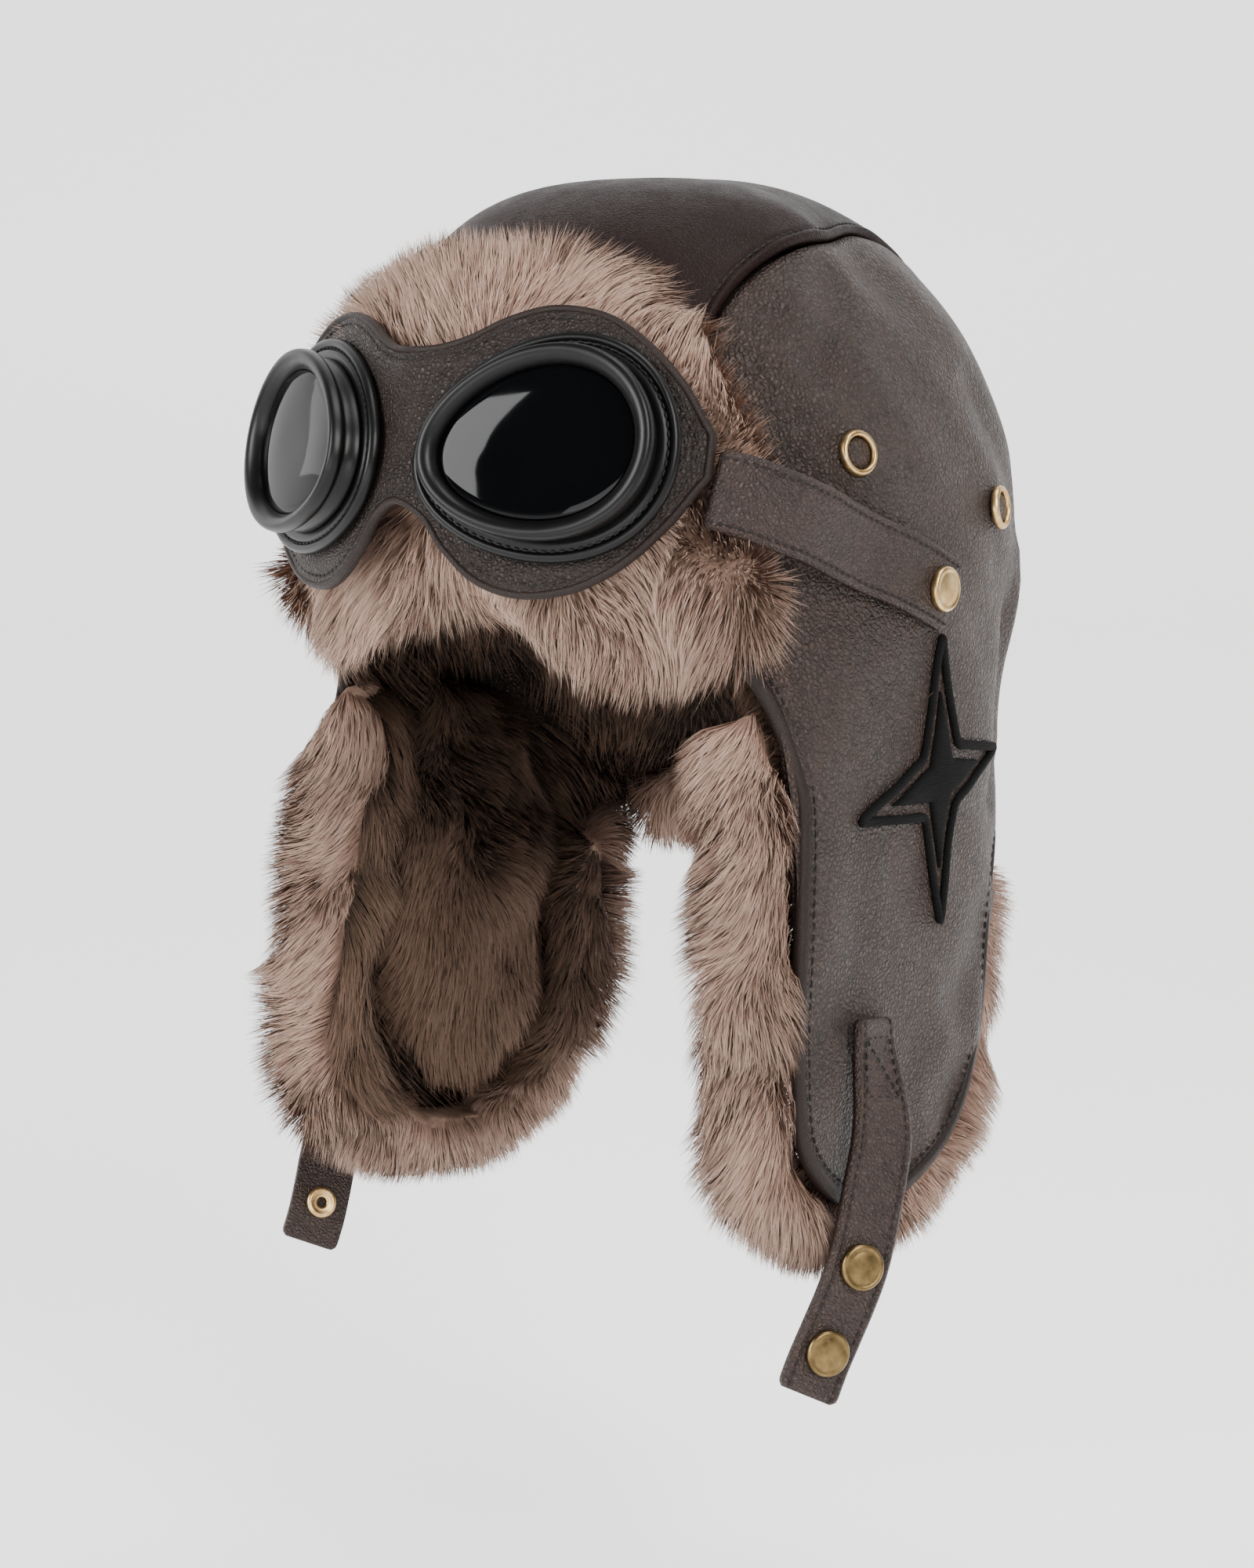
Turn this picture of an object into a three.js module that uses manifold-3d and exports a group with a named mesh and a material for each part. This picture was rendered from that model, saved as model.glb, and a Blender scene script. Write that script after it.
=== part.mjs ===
// A leather flying helmet with a fur lining, a turned-up fur brow flap, goggles and two chin straps.
// Millimetres, +Z up. The helmet faces -Y and +X is the wearer's left.
// The origin is the middle of the head opening at the brow, where a head holds the helmet.
import * as THREE from 'three';
import { mergeVertices } from 'three/addons/utils/BufferGeometryUtils.js';
import Module from 'manifold-3d';

// Driving dimensions.
const GAP = 0.5; // clearance between neighbouring pieces
const LEATHER = 2; // wall of the shell
const BROW_HALF_WIDTH = 96; // outer leather at the brow, to each side
const BROW_FRONT = 105; // outer leather at the brow, ahead of the origin
const BROW_BACK = 111; // outer leather at the brow, behind the origin
const CROWN_HEIGHT = 126; // from the brow to the top of the crown
const CROWN_LEAD = 8; // how far the top of the crown lies ahead of the origin
const CROWN_SLUMP = 0.035; // the soft crown sinks by this share at its left side and swells at its right
const SEAM_SHIFT = 3; // how far the middle panel lies towards the left
const SEAM_LAP = 1.2; // how far the middle panel stands above the side panels
const FLAP_DROP = 181; // from the brow to the lower edge of an ear flap's leather
const FLAP_HALF_WIDTH = 56; // half the fore-and-aft width of an ear flap's leather
const FLAP_LEAD = 13; // how far the middle of an ear flap lies ahead of the origin
const FLAP_REAR_LEFT = 1.05; // how far each flap reaches back, as a share of FLAP_EDGE
const FLAP_REAR_RIGHT = 0.8;
const FLAP_SPLAY_LEFT = 0.17; // how far each flap's front edge spreads, as a share of the brow's half width
const FLAP_SPLAY_RIGHT = 0.27;
const NAPE_DROP = 74; // from the brow to the nape's leather edge
const LINING_PILE = 10; // fur lining of the crown
const EAR_PILE = 23; // fur lining of the ear flaps
const EDGE_DEPTH = 27; // fur roll along the ear flaps, from the leather inwards
const EDGE_REACH = 15; // how far that roll stands out past the leather's edge
const FRONT_FULLNESS = 0.65; // how much farther it stands out along the flap's front edge
const REAR_FULLNESS = 0.4; // the same along its rear edge
const NAPE_EDGE_DEPTH = 18; // fur roll along the nape
const LOCK_RISE = 3; // height of a lock of fur
const BROW_PILE = 18; // the brow flap's fur
const BROW_PRESSED = 7.5; // the same under the goggles and their strap
const BROW_END_PILE = 27; // the same at its free ends
const BROW_FLAP_REACH = 91; // from the middle to each end, measured along the helmet
const BROW_FLAP_TOP = 122; // top of the brow flap, as a rise over BROW_FRONT
const MASK_LEATHER = 3; // leather of the goggle mask
const MASK_HALF_WIDTH = 83; // goggle mask, from the bridge to each end
const MASK_HALF_HEIGHT = 39.5; // goggle mask, from its middle up to its highest point
const MASK_FRONT = 129.5; // bridge of the mask, ahead of the origin
const MASK_MIDDLE = 44; // middle of the goggles, above the brow
const MASK_LEAN = 11; // degrees that the goggles lean back
const MASK_WRAP = 22; // degrees that each eye cup is turned outwards
const BRIDGE_ROUND = 6; // how softly the mask bends over the nose
const EYE_SPREAD = 43; // from the middle to each eye cup
const EYE_DROP = 1; // the eye cups sit this far below the middle of the mask
const CUP_HALF_WIDTH = 39.5; // eye cup flange
const CUP_HALF_HEIGHT = 32;
const FLANGE_WIDTH = 6; // from the flange's rim to the barrel
const FLANGE_HEIGHT = 3.2;
const BARREL_WIDTH = 4.6; // wall of the raised rim
const BARREL_HEIGHT = 9.5; // above the flange
const LENS_THICKNESS = 2.4;
const LENS_DEPTH = 3.5; // the lens lies this far below the barrel's rim
const GOGGLE_STRAP_WIDTH = 23;
const GOGGLE_STRAP_THICKNESS = 3;
const CHIN_STRAP_WIDTH = 19.5;
const CHIN_STRAP_THICKNESS = 3;
const CHIN_STRAP_LEFT = 111; // sewn and free length of the left strap
const CHIN_STRAP_RIGHT = 103;
const SNAP_RADIUS = 6.8; // brass snap caps
const SNAP_HEIGHT = 2.6;
const SNAP_SPACING = 26; // between the two snaps of a chin strap
const SNAP_MARGIN = 14; // from the lower snap to the strap's end
const SOCKET_RADIUS = 5.2;
const SOCKET_HEIGHT = 1.6;
const SOCKET_HOLE = 1.7;
const RING_HEIGHT = 2.4; // brass rings on the sides of the crown
const RING_WALL = 2;
const STAR_HALF_HEIGHT = 47; // embroidered star on the left flap
const STAR_FRONT = 47; // from its middle to the point at the front
const STAR_REAR = 39; // and to the point at the back
const STAR_WAIST = 13; // from the star's middle to its inner corners
const STAR_SHEAR = 0.19; // its cross points run up to the back by this slope
const STAR_LEAN = 0.06; // its lower point lies towards the back by this slope
const STAR_BORDER = 0.14; // width of the embroidered border, as a share of the star
const STAR_MARGIN = 0.26; // bare leather between the border and the filled star, as a share
const STAR_THICKNESS = 1.2;

// Fullness of the crown's rise.
const RISE_POWER = 2.45;

// Sections of the skirt below the brow. down is a share of the flaps' drop; wide, front and back are
// shares of the brow's sizes; power is the fullness of the section's front corners.
const SKIRT = [
  { down: 0, wide: 1, front: 1, back: 1, power: 2.3 },
  { down: 0.18, wide: 0.995, front: 1, back: 0.93, power: 2.5 },
  { down: 0.38, wide: 0.98, front: 1.02, back: 0.87, power: 3 },
  { down: 0.7, wide: 0.965, front: 1.06, back: 0.84, power: 3.8 },
  { down: 1.15, wide: 0.96, front: 1.08, back: 0.84, power: 4 },
];

// The seams either side of the crown's middle panel. along is a share of BROW_BACK, to the back; half is
// the distance from the middle to the seam as a share of BROW_HALF_WIDTH.
const SEAMS = [
  { along: -1.3, half: 0.6 },
  { along: -0.6, half: 0.62 },
  { along: -0.1, half: 0.6 },
  { along: 0.2, half: 0.5 },
  { along: 0.5, half: 0.47 },
  { along: 0.8, half: 0.49 },
  { along: 1.3, half: 0.5 },
];

// The leather's lower edge round an ear flap, from the brow to the flap's back. along is a share of the
// flap's half width from its middle, to the back; down is a share of its drop.
const FLAP_EDGE = [
  { along: -1.22, down: 0.05 },
  { along: -1, down: 0.14 },
  { along: -0.9, down: 0.3 },
  { along: -0.94, down: 0.5 },
  { along: -1, down: 0.72 },
  { along: -0.92, down: 0.88 },
  { along: -0.5, down: 0.985 },
  { along: 0, down: 1 },
  { along: 0.58, down: 0.91 },
  { along: 0.98, down: 0.72 },
  { along: 1.1, down: 0.52 },
];

// The same edge along the nape. along is a share of BROW_BACK, down of NAPE_DROP.
const NAPE_EDGE = [
  { along: 0.56, down: 1.1 },
  { along: 0.8, down: 1 },
  { along: 1.3, down: 1 },
];

// Soft dents and swells of the leather. side, back and up are shares of the brow's half width, its back
// and the crown's height; reach and depth are millimetres, and a swell has a negative depth.
const DENTS = [
  { side: 0.66, back: 0.08, up: 0.74, reach: 15, depth: 3 },
  { side: 0.58, back: -0.25, up: 0.84, reach: 20, depth: -2.5 },
  { side: 0.5, back: 0.5, up: 0.68, reach: 18, depth: 2.5 },
  { side: 0.9, back: 0.35, up: -0.1, reach: 26, depth: 2 },
  { side: 0.78, back: 0.62, up: -0.3, reach: 20, depth: 3 },
];

// The brow flap's outline for half its width. across is a share of its reach; top is a share of its top
// and foot is millimetres below the brow.
const BROW_OUTLINE = [
  { across: 0, top: 1, foot: -1 },
  { across: 0.2, top: 1.01, foot: 3 },
  { across: 0.4, top: 0.98, foot: 14 },
  { across: 0.6, top: 0.88, foot: 19 },
  { across: 0.8, top: 0.66, foot: 18 },
  { across: 0.93, top: 0.46, foot: 13 },
  { across: 1, top: 0.3, foot: 3 },
];

const wasm = await Module();
wasm.setup();

const LEFT = 1;
const RIGHT = -1;
const FAR = 400; // well outside the helmet, for cutting bodies
const radians = THREE.MathUtils.degToRad;
const vec = (x, y, z) => new THREE.Vector3(x, y, z);

// Closed bodies and cuts.

function bodyOf(corners, faces) {
  const loose = new THREE.BufferGeometry();
  const values = corners.flatMap((p) => [p.x, p.y, p.z]);
  loose.setAttribute('position', new THREE.Float32BufferAttribute(values, 3));
  loose.setIndex(faces.flat());
  const merged = mergeVertices(loose, 1e-3);
  const index = [];
  for (let i = 0; i < merged.index.count; i += 3) {
    const [a, b, c] = [0, 1, 2].map((k) => merged.index.getX(i + k));
    if (a !== b && b !== c && c !== a) index.push(a, b, c);
  }
  merged.setIndex(index);
  return facedOut(merged);
}

function facedOut(geometry) {
  const place = geometry.getAttribute('position');
  const corner = (i) => new THREE.Vector3().fromBufferAttribute(place, geometry.index.getX(i));
  let volume = 0;
  for (let i = 0; i < geometry.index.count; i += 3) {
    volume += corner(i).dot(corner(i + 1).cross(corner(i + 2)));
  }
  if (volume < 0) geometry.index.array.reverse();
  return geometry;
}

function solidOf(geometry) {
  const bare = geometry.clone();
  bare.deleteAttribute('normal');
  bare.deleteAttribute('uv');
  const merged = facedOut(mergeVertices(bare, 1e-3));
  return new wasm.Manifold(
    new wasm.Mesh({
      numProp: 3,
      vertProperties: merged.getAttribute('position').array,
      triVerts: new Uint32Array(merged.index.array),
    }),
  );
}

function geometryOf(solid) {
  const mesh = solid.getMesh();
  const places = new Float32Array(mesh.numVert * 3);
  for (let i = 0; i < mesh.numVert; i += 1) {
    places.set(mesh.vertProperties.subarray(i * mesh.numProp, i * mesh.numProp + 3), i * 3);
  }
  const geometry = new THREE.BufferGeometry();
  geometry.setAttribute('position', new THREE.BufferAttribute(places, 3));
  geometry.setIndex(new THREE.BufferAttribute(new Uint32Array(mesh.triVerts), 1));
  return geometry;
}

// A wall between two grids of points, rows by columns. wrap joins the last column to the first; ring
// joins the last row to the first, so that the body has no ends.
function wall(outer, inner, { wrap = false, ring = false } = {}) {
  const rows = outer.length;
  const columns = outer[0].length;
  const corners = [...outer.flat(), ...inner.flat()];
  const at = (skin, i, j) => skin * rows * columns + (i % rows) * columns + (j % columns);
  const faces = [];
  const quad = (a, b, c, d) => faces.push([a, b, c], [a, c, d]);
  const lastRow = ring ? rows : rows - 1;
  const lastColumn = wrap ? columns : columns - 1;
  for (let i = 0; i < lastRow; i += 1) {
    for (let j = 0; j < lastColumn; j += 1) {
      quad(at(0, i, j), at(0, i, j + 1), at(0, i + 1, j + 1), at(0, i + 1, j));
      quad(at(1, i, j), at(1, i + 1, j), at(1, i + 1, j + 1), at(1, i, j + 1));
    }
    if (!wrap) {
      quad(at(0, i, 0), at(0, i + 1, 0), at(1, i + 1, 0), at(1, i, 0));
      quad(at(0, i, columns - 1), at(1, i, columns - 1), at(1, i + 1, columns - 1), at(0, i + 1, columns - 1));
    }
  }
  for (let j = 0; j < lastColumn && !ring; j += 1) {
    quad(at(0, 0, j), at(1, 0, j), at(1, 0, j + 1), at(0, 0, j + 1));
    quad(at(0, rows - 1, j), at(0, rows - 1, j + 1), at(1, rows - 1, j + 1), at(1, rows - 1, j));
  }
  return bodyOf(corners, faces);
}

// A body swept through sections that are closed loops of points, with flat ends unless it is a ring.
function loft(sections, ring = false) {
  const count = sections[0].length;
  const corners = sections.flat();
  const faces = [];
  const last = ring ? sections.length : sections.length - 1;
  for (let i = 0; i < last; i += 1) {
    const next = (i + 1) % sections.length;
    for (let j = 0; j < count; j += 1) {
      const [a, b] = [i * count + j, i * count + ((j + 1) % count)];
      const [c, d] = [next * count + ((j + 1) % count), next * count + j];
      faces.push([a, b, c], [a, c, d]);
    }
  }
  if (!ring) {
    [0, sections.length - 1].forEach((i) => {
      const middle = sections[i].reduce((sum, p) => sum.add(p), vec(0, 0, 0)).divideScalar(count);
      corners.push(middle);
      for (let j = 0; j < count; j += 1) {
        const [a, b] = [i * count + j, i * count + ((j + 1) % count)];
        faces.push(i === 0 ? [corners.length - 1, b, a] : [corners.length - 1, a, b]);
      }
    });
  }
  return bodyOf(corners, faces);
}

// A flat outline of [across, up] pairs in the side view, Y and Z, run along X.
function sidePrism(outline, fromX, toX) {
  const shape = new THREE.Shape(outline.map(([y, z]) => new THREE.Vector2(y, z)));
  const prism = new THREE.ExtrudeGeometry(shape, { depth: toX - fromX, bevelEnabled: false });
  prism.applyMatrix4(new THREE.Matrix4().makeBasis(vec(0, 1, 0), vec(0, 0, 1), vec(1, 0, 0)));
  prism.translate(fromX, 0, 0);
  return solidOf(prism);
}

function block(low, high) {
  const box = new THREE.BoxGeometry(high[0] - low[0], high[1] - low[1], high[2] - low[2]);
  box.translate((high[0] + low[0]) / 2, (high[1] + low[1]) / 2, (high[2] + low[2]) / 2);
  return solidOf(box);
}

// The helmet's outer leather surface.

function eased(table, key, column, value) {
  const after = table.findIndex((row) => row[key] >= value);
  if (after === 0) return table[0][column];
  if (after < 0) return table[table.length - 1][column];
  const [a, b] = [table[after - 1], table[after]];
  return THREE.MathUtils.lerp(a[column], b[column], (value - a[key]) / (b[key] - a[key]));
}

// Below 1 inside the helmet's outer surface and above 1 outside it.
function field(x, y, z) {
  const sink = 1 - (CROWN_SLUMP * x) / BROW_HALF_WIDTH;
  const up = Math.max(z, 0) / (CROWN_HEIGHT * sink);
  const down = Math.max(-z, 0) / FLAP_DROP;
  const middle = -CROWN_LEAD * up * up;
  const length = y < middle
    ? BROW_FRONT * eased(SKIRT, 'down', 'front', down)
    : BROW_BACK * eased(SKIRT, 'down', 'back', down);
  const spread = x > 0 ? FLAP_SPLAY_LEFT : FLAP_SPLAY_RIGHT;
  const splay = spread * Math.min(down / 0.3, 1) * (Math.max(-y, 0) / BROW_FRONT) ** 1.4;
  const width = BROW_HALF_WIDTH * (eased(SKIRT, 'down', 'wide', down) + splay);
  const power = y < middle ? eased(SKIRT, 'down', 'power', down) : SKIRT[0].power;
  const plan = (Math.abs(x / width) ** power + Math.abs((y - middle) / length) ** power) ** (1 / power);
  return (plan ** RISE_POWER + up ** RISE_POWER) ** (1 / RISE_POWER);
}

function normalAt(p) {
  const step = 0.5;
  return vec(
    field(p.x + step, p.y, p.z) - field(p.x - step, p.y, p.z),
    field(p.x, p.y + step, p.z) - field(p.x, p.y - step, p.z),
    field(p.x, p.y, p.z + step) - field(p.x, p.y, p.z - step),
  ).normalize();
}

function dentAt(p) {
  return DENTS.reduce((sum, dent) => {
    const middle = vec(dent.side * BROW_HALF_WIDTH, dent.back * BROW_BACK, dent.up * CROWN_HEIGHT);
    const away = vec(Math.abs(p.x), p.y, p.z).distanceTo(middle) / dent.reach;
    return sum + dent.depth * Math.exp(-away * away);
  }, 0);
}

// The point where a ray from inside leaves the helmet, lifted off the leather by lift.
function surface(from, way, lift) {
  let [near, far] = [0, FAR];
  for (let i = 0; i < 40; i += 1) {
    const middle = (near + far) / 2;
    const p = from.clone().addScaledVector(way, middle);
    if (field(p.x, p.y, p.z) < 1) near = middle;
    else far = middle;
  }
  const p = from.clone().addScaledVector(way, near);
  return p.clone().addScaledVector(normalAt(p), lift - dentAt(p));
}

// A ray at an azimuth from the front, towards the wearer's left. A height above 0 is measured along the
// crown from the brow, and one below 0 straight down.
function rayAround(azimuth, height) {
  const flat = vec(Math.sin(azimuth), -Math.cos(azimuth), 0);
  if (height <= 0) return [vec(0, 0, height), flat];
  const rise = Math.min(height / CROWN_HEIGHT, Math.PI / 2);
  return [vec(0, 0, 0), flat.multiplyScalar(Math.cos(rise)).add(vec(0, 0, Math.sin(rise)))];
}

const CROWN_TOP = (CROWN_HEIGHT * Math.PI) / 2; // the top of the crown, as a height for rayAround()
const COLUMNS = 36;
const CROWN_ROWS = [1, 0.9, 0.78, 0.65, 0.52, 0.39, 0.26, 0.13, 0].map((share) => share * CROWN_TOP);
const SKIRT_ROWS = [0.12, 0.26, 0.42, 0.6, 0.8, 1.15].map((share) => -share * FLAP_DROP);
const azimuthOf = (column) => (column / COLUMNS) * 2 * Math.PI;

function leatherGrid(lift, rows = [...CROWN_ROWS, ...SKIRT_ROWS]) {
  return rows.map((height) =>
    Array.from({ length: COLUMNS }, (_, j) => surface(...rayAround(azimuthOf(j), height), lift)),
  );
}

const outerLeather = leatherGrid(0);
const facets = new THREE.Mesh(
  wall(outerLeather, leatherGrid(-LEATHER), { wrap: true }),
  new THREE.MeshBasicMaterial({ side: THREE.DoubleSide }),
);

// The spot where a ray from inside leaves the faceted leather, lifted off it by lift.
function seat(from, way, lift = 0) {
  const hits = new THREE.Raycaster(from, way, 0, FAR).intersectObject(facets);
  const place = hits[hits.length - 1].point;
  const normal = normalAt(place);
  return { place: place.clone().addScaledVector(normal, lift), normal };
}

// The leather seen from the side at y, z.
const sideSkin = (side, y, z, lift = 0) => seat(vec(0, y, z), vec(side, 0, 0), lift);
const around = (azimuth, height, lift = 0) => seat(...rayAround(azimuth, height), lift);

const flapRear = (side) => (side === LEFT ? FLAP_REAR_LEFT : FLAP_REAR_RIGHT);

// The leather's lower edge in the side view, from in front of the brow to behind the nape.
function hemCurve(side) {
  const rear = flapRear(side);
  const flap = FLAP_EDGE.map(({ along, down }) =>
    vec(0, -FLAP_LEAD + along * (along > 0 ? rear : 1) * FLAP_HALF_WIDTH, -down * FLAP_DROP),
  );
  const nape = NAPE_EDGE.map((row) => vec(0, row.along * BROW_BACK, -row.down * NAPE_DROP));
  const brow = [vec(0, -BROW_FRONT * 1.5, 0), vec(0, -BROW_FRONT, 0)];
  return new THREE.CatmullRomCurve3([...brow, ...flap, ...nape], false, 'centripetal').getSpacedPoints(46);
}

// Everything above that edge, on one side of the helmet.
function aboveHem(side) {
  const hem = hemCurve(side).map((p) => [p.y, p.z]);
  const outline = [[-FAR, 0], ...hem, [FAR, hem.at(-1)[1]], [FAR, FAR], [-FAR, FAR]];
  return side === LEFT ? sidePrism(outline, 0, FAR) : sidePrism(outline, -FAR, 0);
}

// Leather shell: a middle panel from brow to nape, and a side panel with its ear flap on each side.

// The strip between the seams in the top view, widened by extra.
function seamStrip(extra) {
  const line = new THREE.SplineCurve(
    SEAMS.map((row) => new THREE.Vector2(row.half * BROW_HALF_WIDTH + extra, row.along * BROW_BACK)),
  ).getPoints(20);
  const [left, right] = [LEFT, RIGHT].map((side) =>
    line.map((p) => new THREE.Vector2(side * p.x + SEAM_SHIFT, p.y)),
  );
  const shape = new THREE.Shape([...left, ...right.reverse()]);
  const strip = new THREE.ExtrudeGeometry(shape, { depth: 2 * FAR, bevelEnabled: false });
  return solidOf(strip.translate(0, 0, -FAR));
}

function shellPanels() {
  const kept = aboveHem(LEFT).add(aboveHem(RIGHT));
  const inner = leatherGrid(-LEATHER);
  const leather = solidOf(wall(outerLeather, inner, { wrap: true })).intersect(kept);
  const lapped = solidOf(wall(leatherGrid(SEAM_LAP), inner, { wrap: true })).intersect(kept);
  const sides = leather.subtract(seamStrip(GAP));
  return {
    crown_middle_panel: lapped.intersect(seamStrip(0)),
    side_panel_left: sides.intersect(block([0, -FAR, -FAR], [FAR, FAR, FAR])),
    side_panel_right: sides.intersect(block([-FAR, -FAR, -FAR], [0, FAR, FAR])),
  };
}

// Fur. Locks lie in staggered rows: each rises towards its tip and drops to the next one's root.

function lockRise(row, column) {
  const rise = [0, 0.5, 1][(row + (column % 2) * 2) % 3];
  return LOCK_RISE * rise * (column % 3 === 0 ? 0.45 : 1);
}

// The crown's lining: down to the brow in front, to the ear linings at the sides and to the nape behind.
function crownLining() {
  const bottom = (azimuth) => {
    const beside = THREE.MathUtils.smoothstep(-Math.cos(azimuth), -0.75, -0.4);
    const behind = THREE.MathUtils.smoothstep(-Math.cos(azimuth), 0.2, 0.5);
    const low = 0.12 * FLAP_DROP;
    return 3 + beside * low + behind * (NAPE_DROP - 0.85 * EDGE_REACH - 3 - low);
  };
  const crown = CROWN_ROWS.filter((_, i) => i % 2 === 0);
  const grid = (inside) =>
    [...crown, -0.5, -1].map((row, i) =>
      Array.from({ length: COLUMNS / 2 }, (_, j) => {
        const azimuth = azimuthOf(2 * j);
        const height = i < crown.length ? row : row * bottom(azimuth);
        const depth = inside ? LINING_PILE - LOCK_RISE + (i > 0 ? lockRise(i, j) : 0) : 0;
        return surface(...rayAround(azimuth, height), -LEATHER - GAP - depth);
      }),
    );
  return wall(grid(false), grid(true), { wrap: true });
}

// The padded lining inside an ear flap: a pile that is full in the middle and thin at its outline.
function earLining(side) {
  const middle = { y: -FLAP_LEAD + ((flapRear(side) - 1) * FLAP_HALF_WIDTH) / 2, z: -0.55 * FLAP_DROP };
  const count = 26;
  const inset = 0.55 * EDGE_REACH + 3.5;
  const half = {
    along: (0.9 * (1 + flapRear(side)) * FLAP_HALF_WIDTH) / 2 - inset,
    down: 0.45 * FLAP_DROP - inset,
  };
  const rings = [0, 0.38, 0.68, 0.9, 1];
  const outline = (k) => {
    const turn = (k / count) * 2 * Math.PI;
    const round = (Math.abs(Math.cos(turn)) ** 2.6 + Math.abs(Math.sin(turn)) ** 2.6) ** (-1 / 2.6);
    return [round * Math.cos(turn) * half.along, round * Math.sin(turn) * half.down];
  };
  const grid = (inside) =>
    rings.map((share, i) =>
      Array.from({ length: count }, (_, k) => {
        const [along, down] = outline(k);
        const full = Math.sqrt(1 - share ** 4) * (EAR_PILE - LOCK_RISE) + LOCK_RISE;
        const locks = i > 0 && i < rings.length - 1 ? lockRise(i, k) : 0;
        const depth = inside ? full - LOCK_RISE + locks : 0;
        const y = middle.y + share * along;
        return sideSkin(side, y, middle.z + share * down, -LEATHER - 2 * GAP - depth).place;
      }),
    );
  return wall(grid(false), grid(true), { wrap: true });
}

// Section of a fur roll round the leather's edge. deep is a share of its depth, inwards from the leather;
// past is a share of its reach past the edge. It comes up outside the leather beyond the edge.
const ROLL_SECTION = [
  { deep: 0.03, past: -0.45 },
  { deep: 0.45, past: -0.5 },
  { deep: 0.85, past: -0.35 },
  { deep: 1, past: 0 },
  { deep: 0.85, past: 0.7 },
  { deep: 0.4, past: 1 },
  { deep: -0.1, past: 0.95 },
  { deep: -0.2, past: 0.5 },
  { deep: -0.14, past: 0.14 },
  { deep: 0.03, past: 0.1 },
];

// A roll of fur along the leather's edge. Each spot's at() gives the place that lies past the edge by a
// distance and off the outer leather by a lift; fuller is how much farther the roll reaches there.
function furRoll(spots, depth, reach) {
  const sections = spots.map((spot, i) => {
    const taper = i === 0 || i === spots.length - 1 ? 0.6 : 1;
    return ROLL_SECTION.map((row, j) => {
      const locks = 1 + ((j > 0 && j < 8 ? lockRise(i, j) : 0) - LOCK_RISE) / depth;
      const past = row.past * reach * (row.past > 0.2 ? taper * locks * spot.fuller : 1);
      return spot.at(past, -LEATHER - 1.8 * GAP - row.deep * depth * taper * locks);
    });
  });
  return loft(sections);
}

const EDGE_START = -0.13 * FLAP_DROP; // the ear flaps' fur rolls begin under the brow flap
const EDGE_END = 0.58 * BROW_BACK; // and end where the nape's roll begins

// The hem from the brow flap's foot to the nape, each point with the way past it in the side view.
function flapHem(side) {
  const hem = hemCurve(side);
  return hem
    .map((p, i) => {
      const run = hem[Math.min(i + 1, hem.length - 1)].clone().sub(hem[Math.max(i - 1, 0)]).normalize();
      return { p, past: vec(0, run.z, -run.y) };
    })
    .filter(({ p }) => (p.y > 0 ? p.y < EDGE_END : p.z < EDGE_START));
}

function earFurEdge(side) {
  const spots = flapHem(side).map(({ p, past }) => ({
    fuller: 1 + FRONT_FULLNESS * Math.max(-past.y, 0) + REAR_FULLNESS * Math.max(past.y, 0),
    at: (distance, lift) => {
      const q = p.clone().addScaledVector(past, distance);
      return sideSkin(side, q.y, q.z, lift).place;
    },
  }));
  return furRoll(spots, EDGE_DEPTH, EDGE_REACH);
}

const NAPE_EDGE_GAP = radians(6); // between the ends of this roll and those of the ear flaps' rolls

function napeFurEdge() {
  const [from, to] = [LEFT, RIGHT].map((side) => {
    const end = flapHem(side).at(-1).p;
    const { x } = sideSkin(side, end.y, end.z).place;
    return Math.PI * (1 - side) + side * (Math.atan2(Math.abs(x), -end.y) + NAPE_EDGE_GAP);
  });
  const steps = 16;
  const spots = Array.from({ length: steps + 1 }, (_, i) => {
    const azimuth = from + ((to - from) * i) / steps;
    const { y } = around(azimuth, -NAPE_DROP).place;
    const hem = hemCurve(LEFT).find((p) => p.y >= y && p.y > 0).z;
    return { fuller: 1, at: (distance, lift) => around(azimuth, hem - distance, lift - 3 * GAP).place };
  });
  return furRoll(spots, NAPE_EDGE_DEPTH, EDGE_REACH);
}

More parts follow.
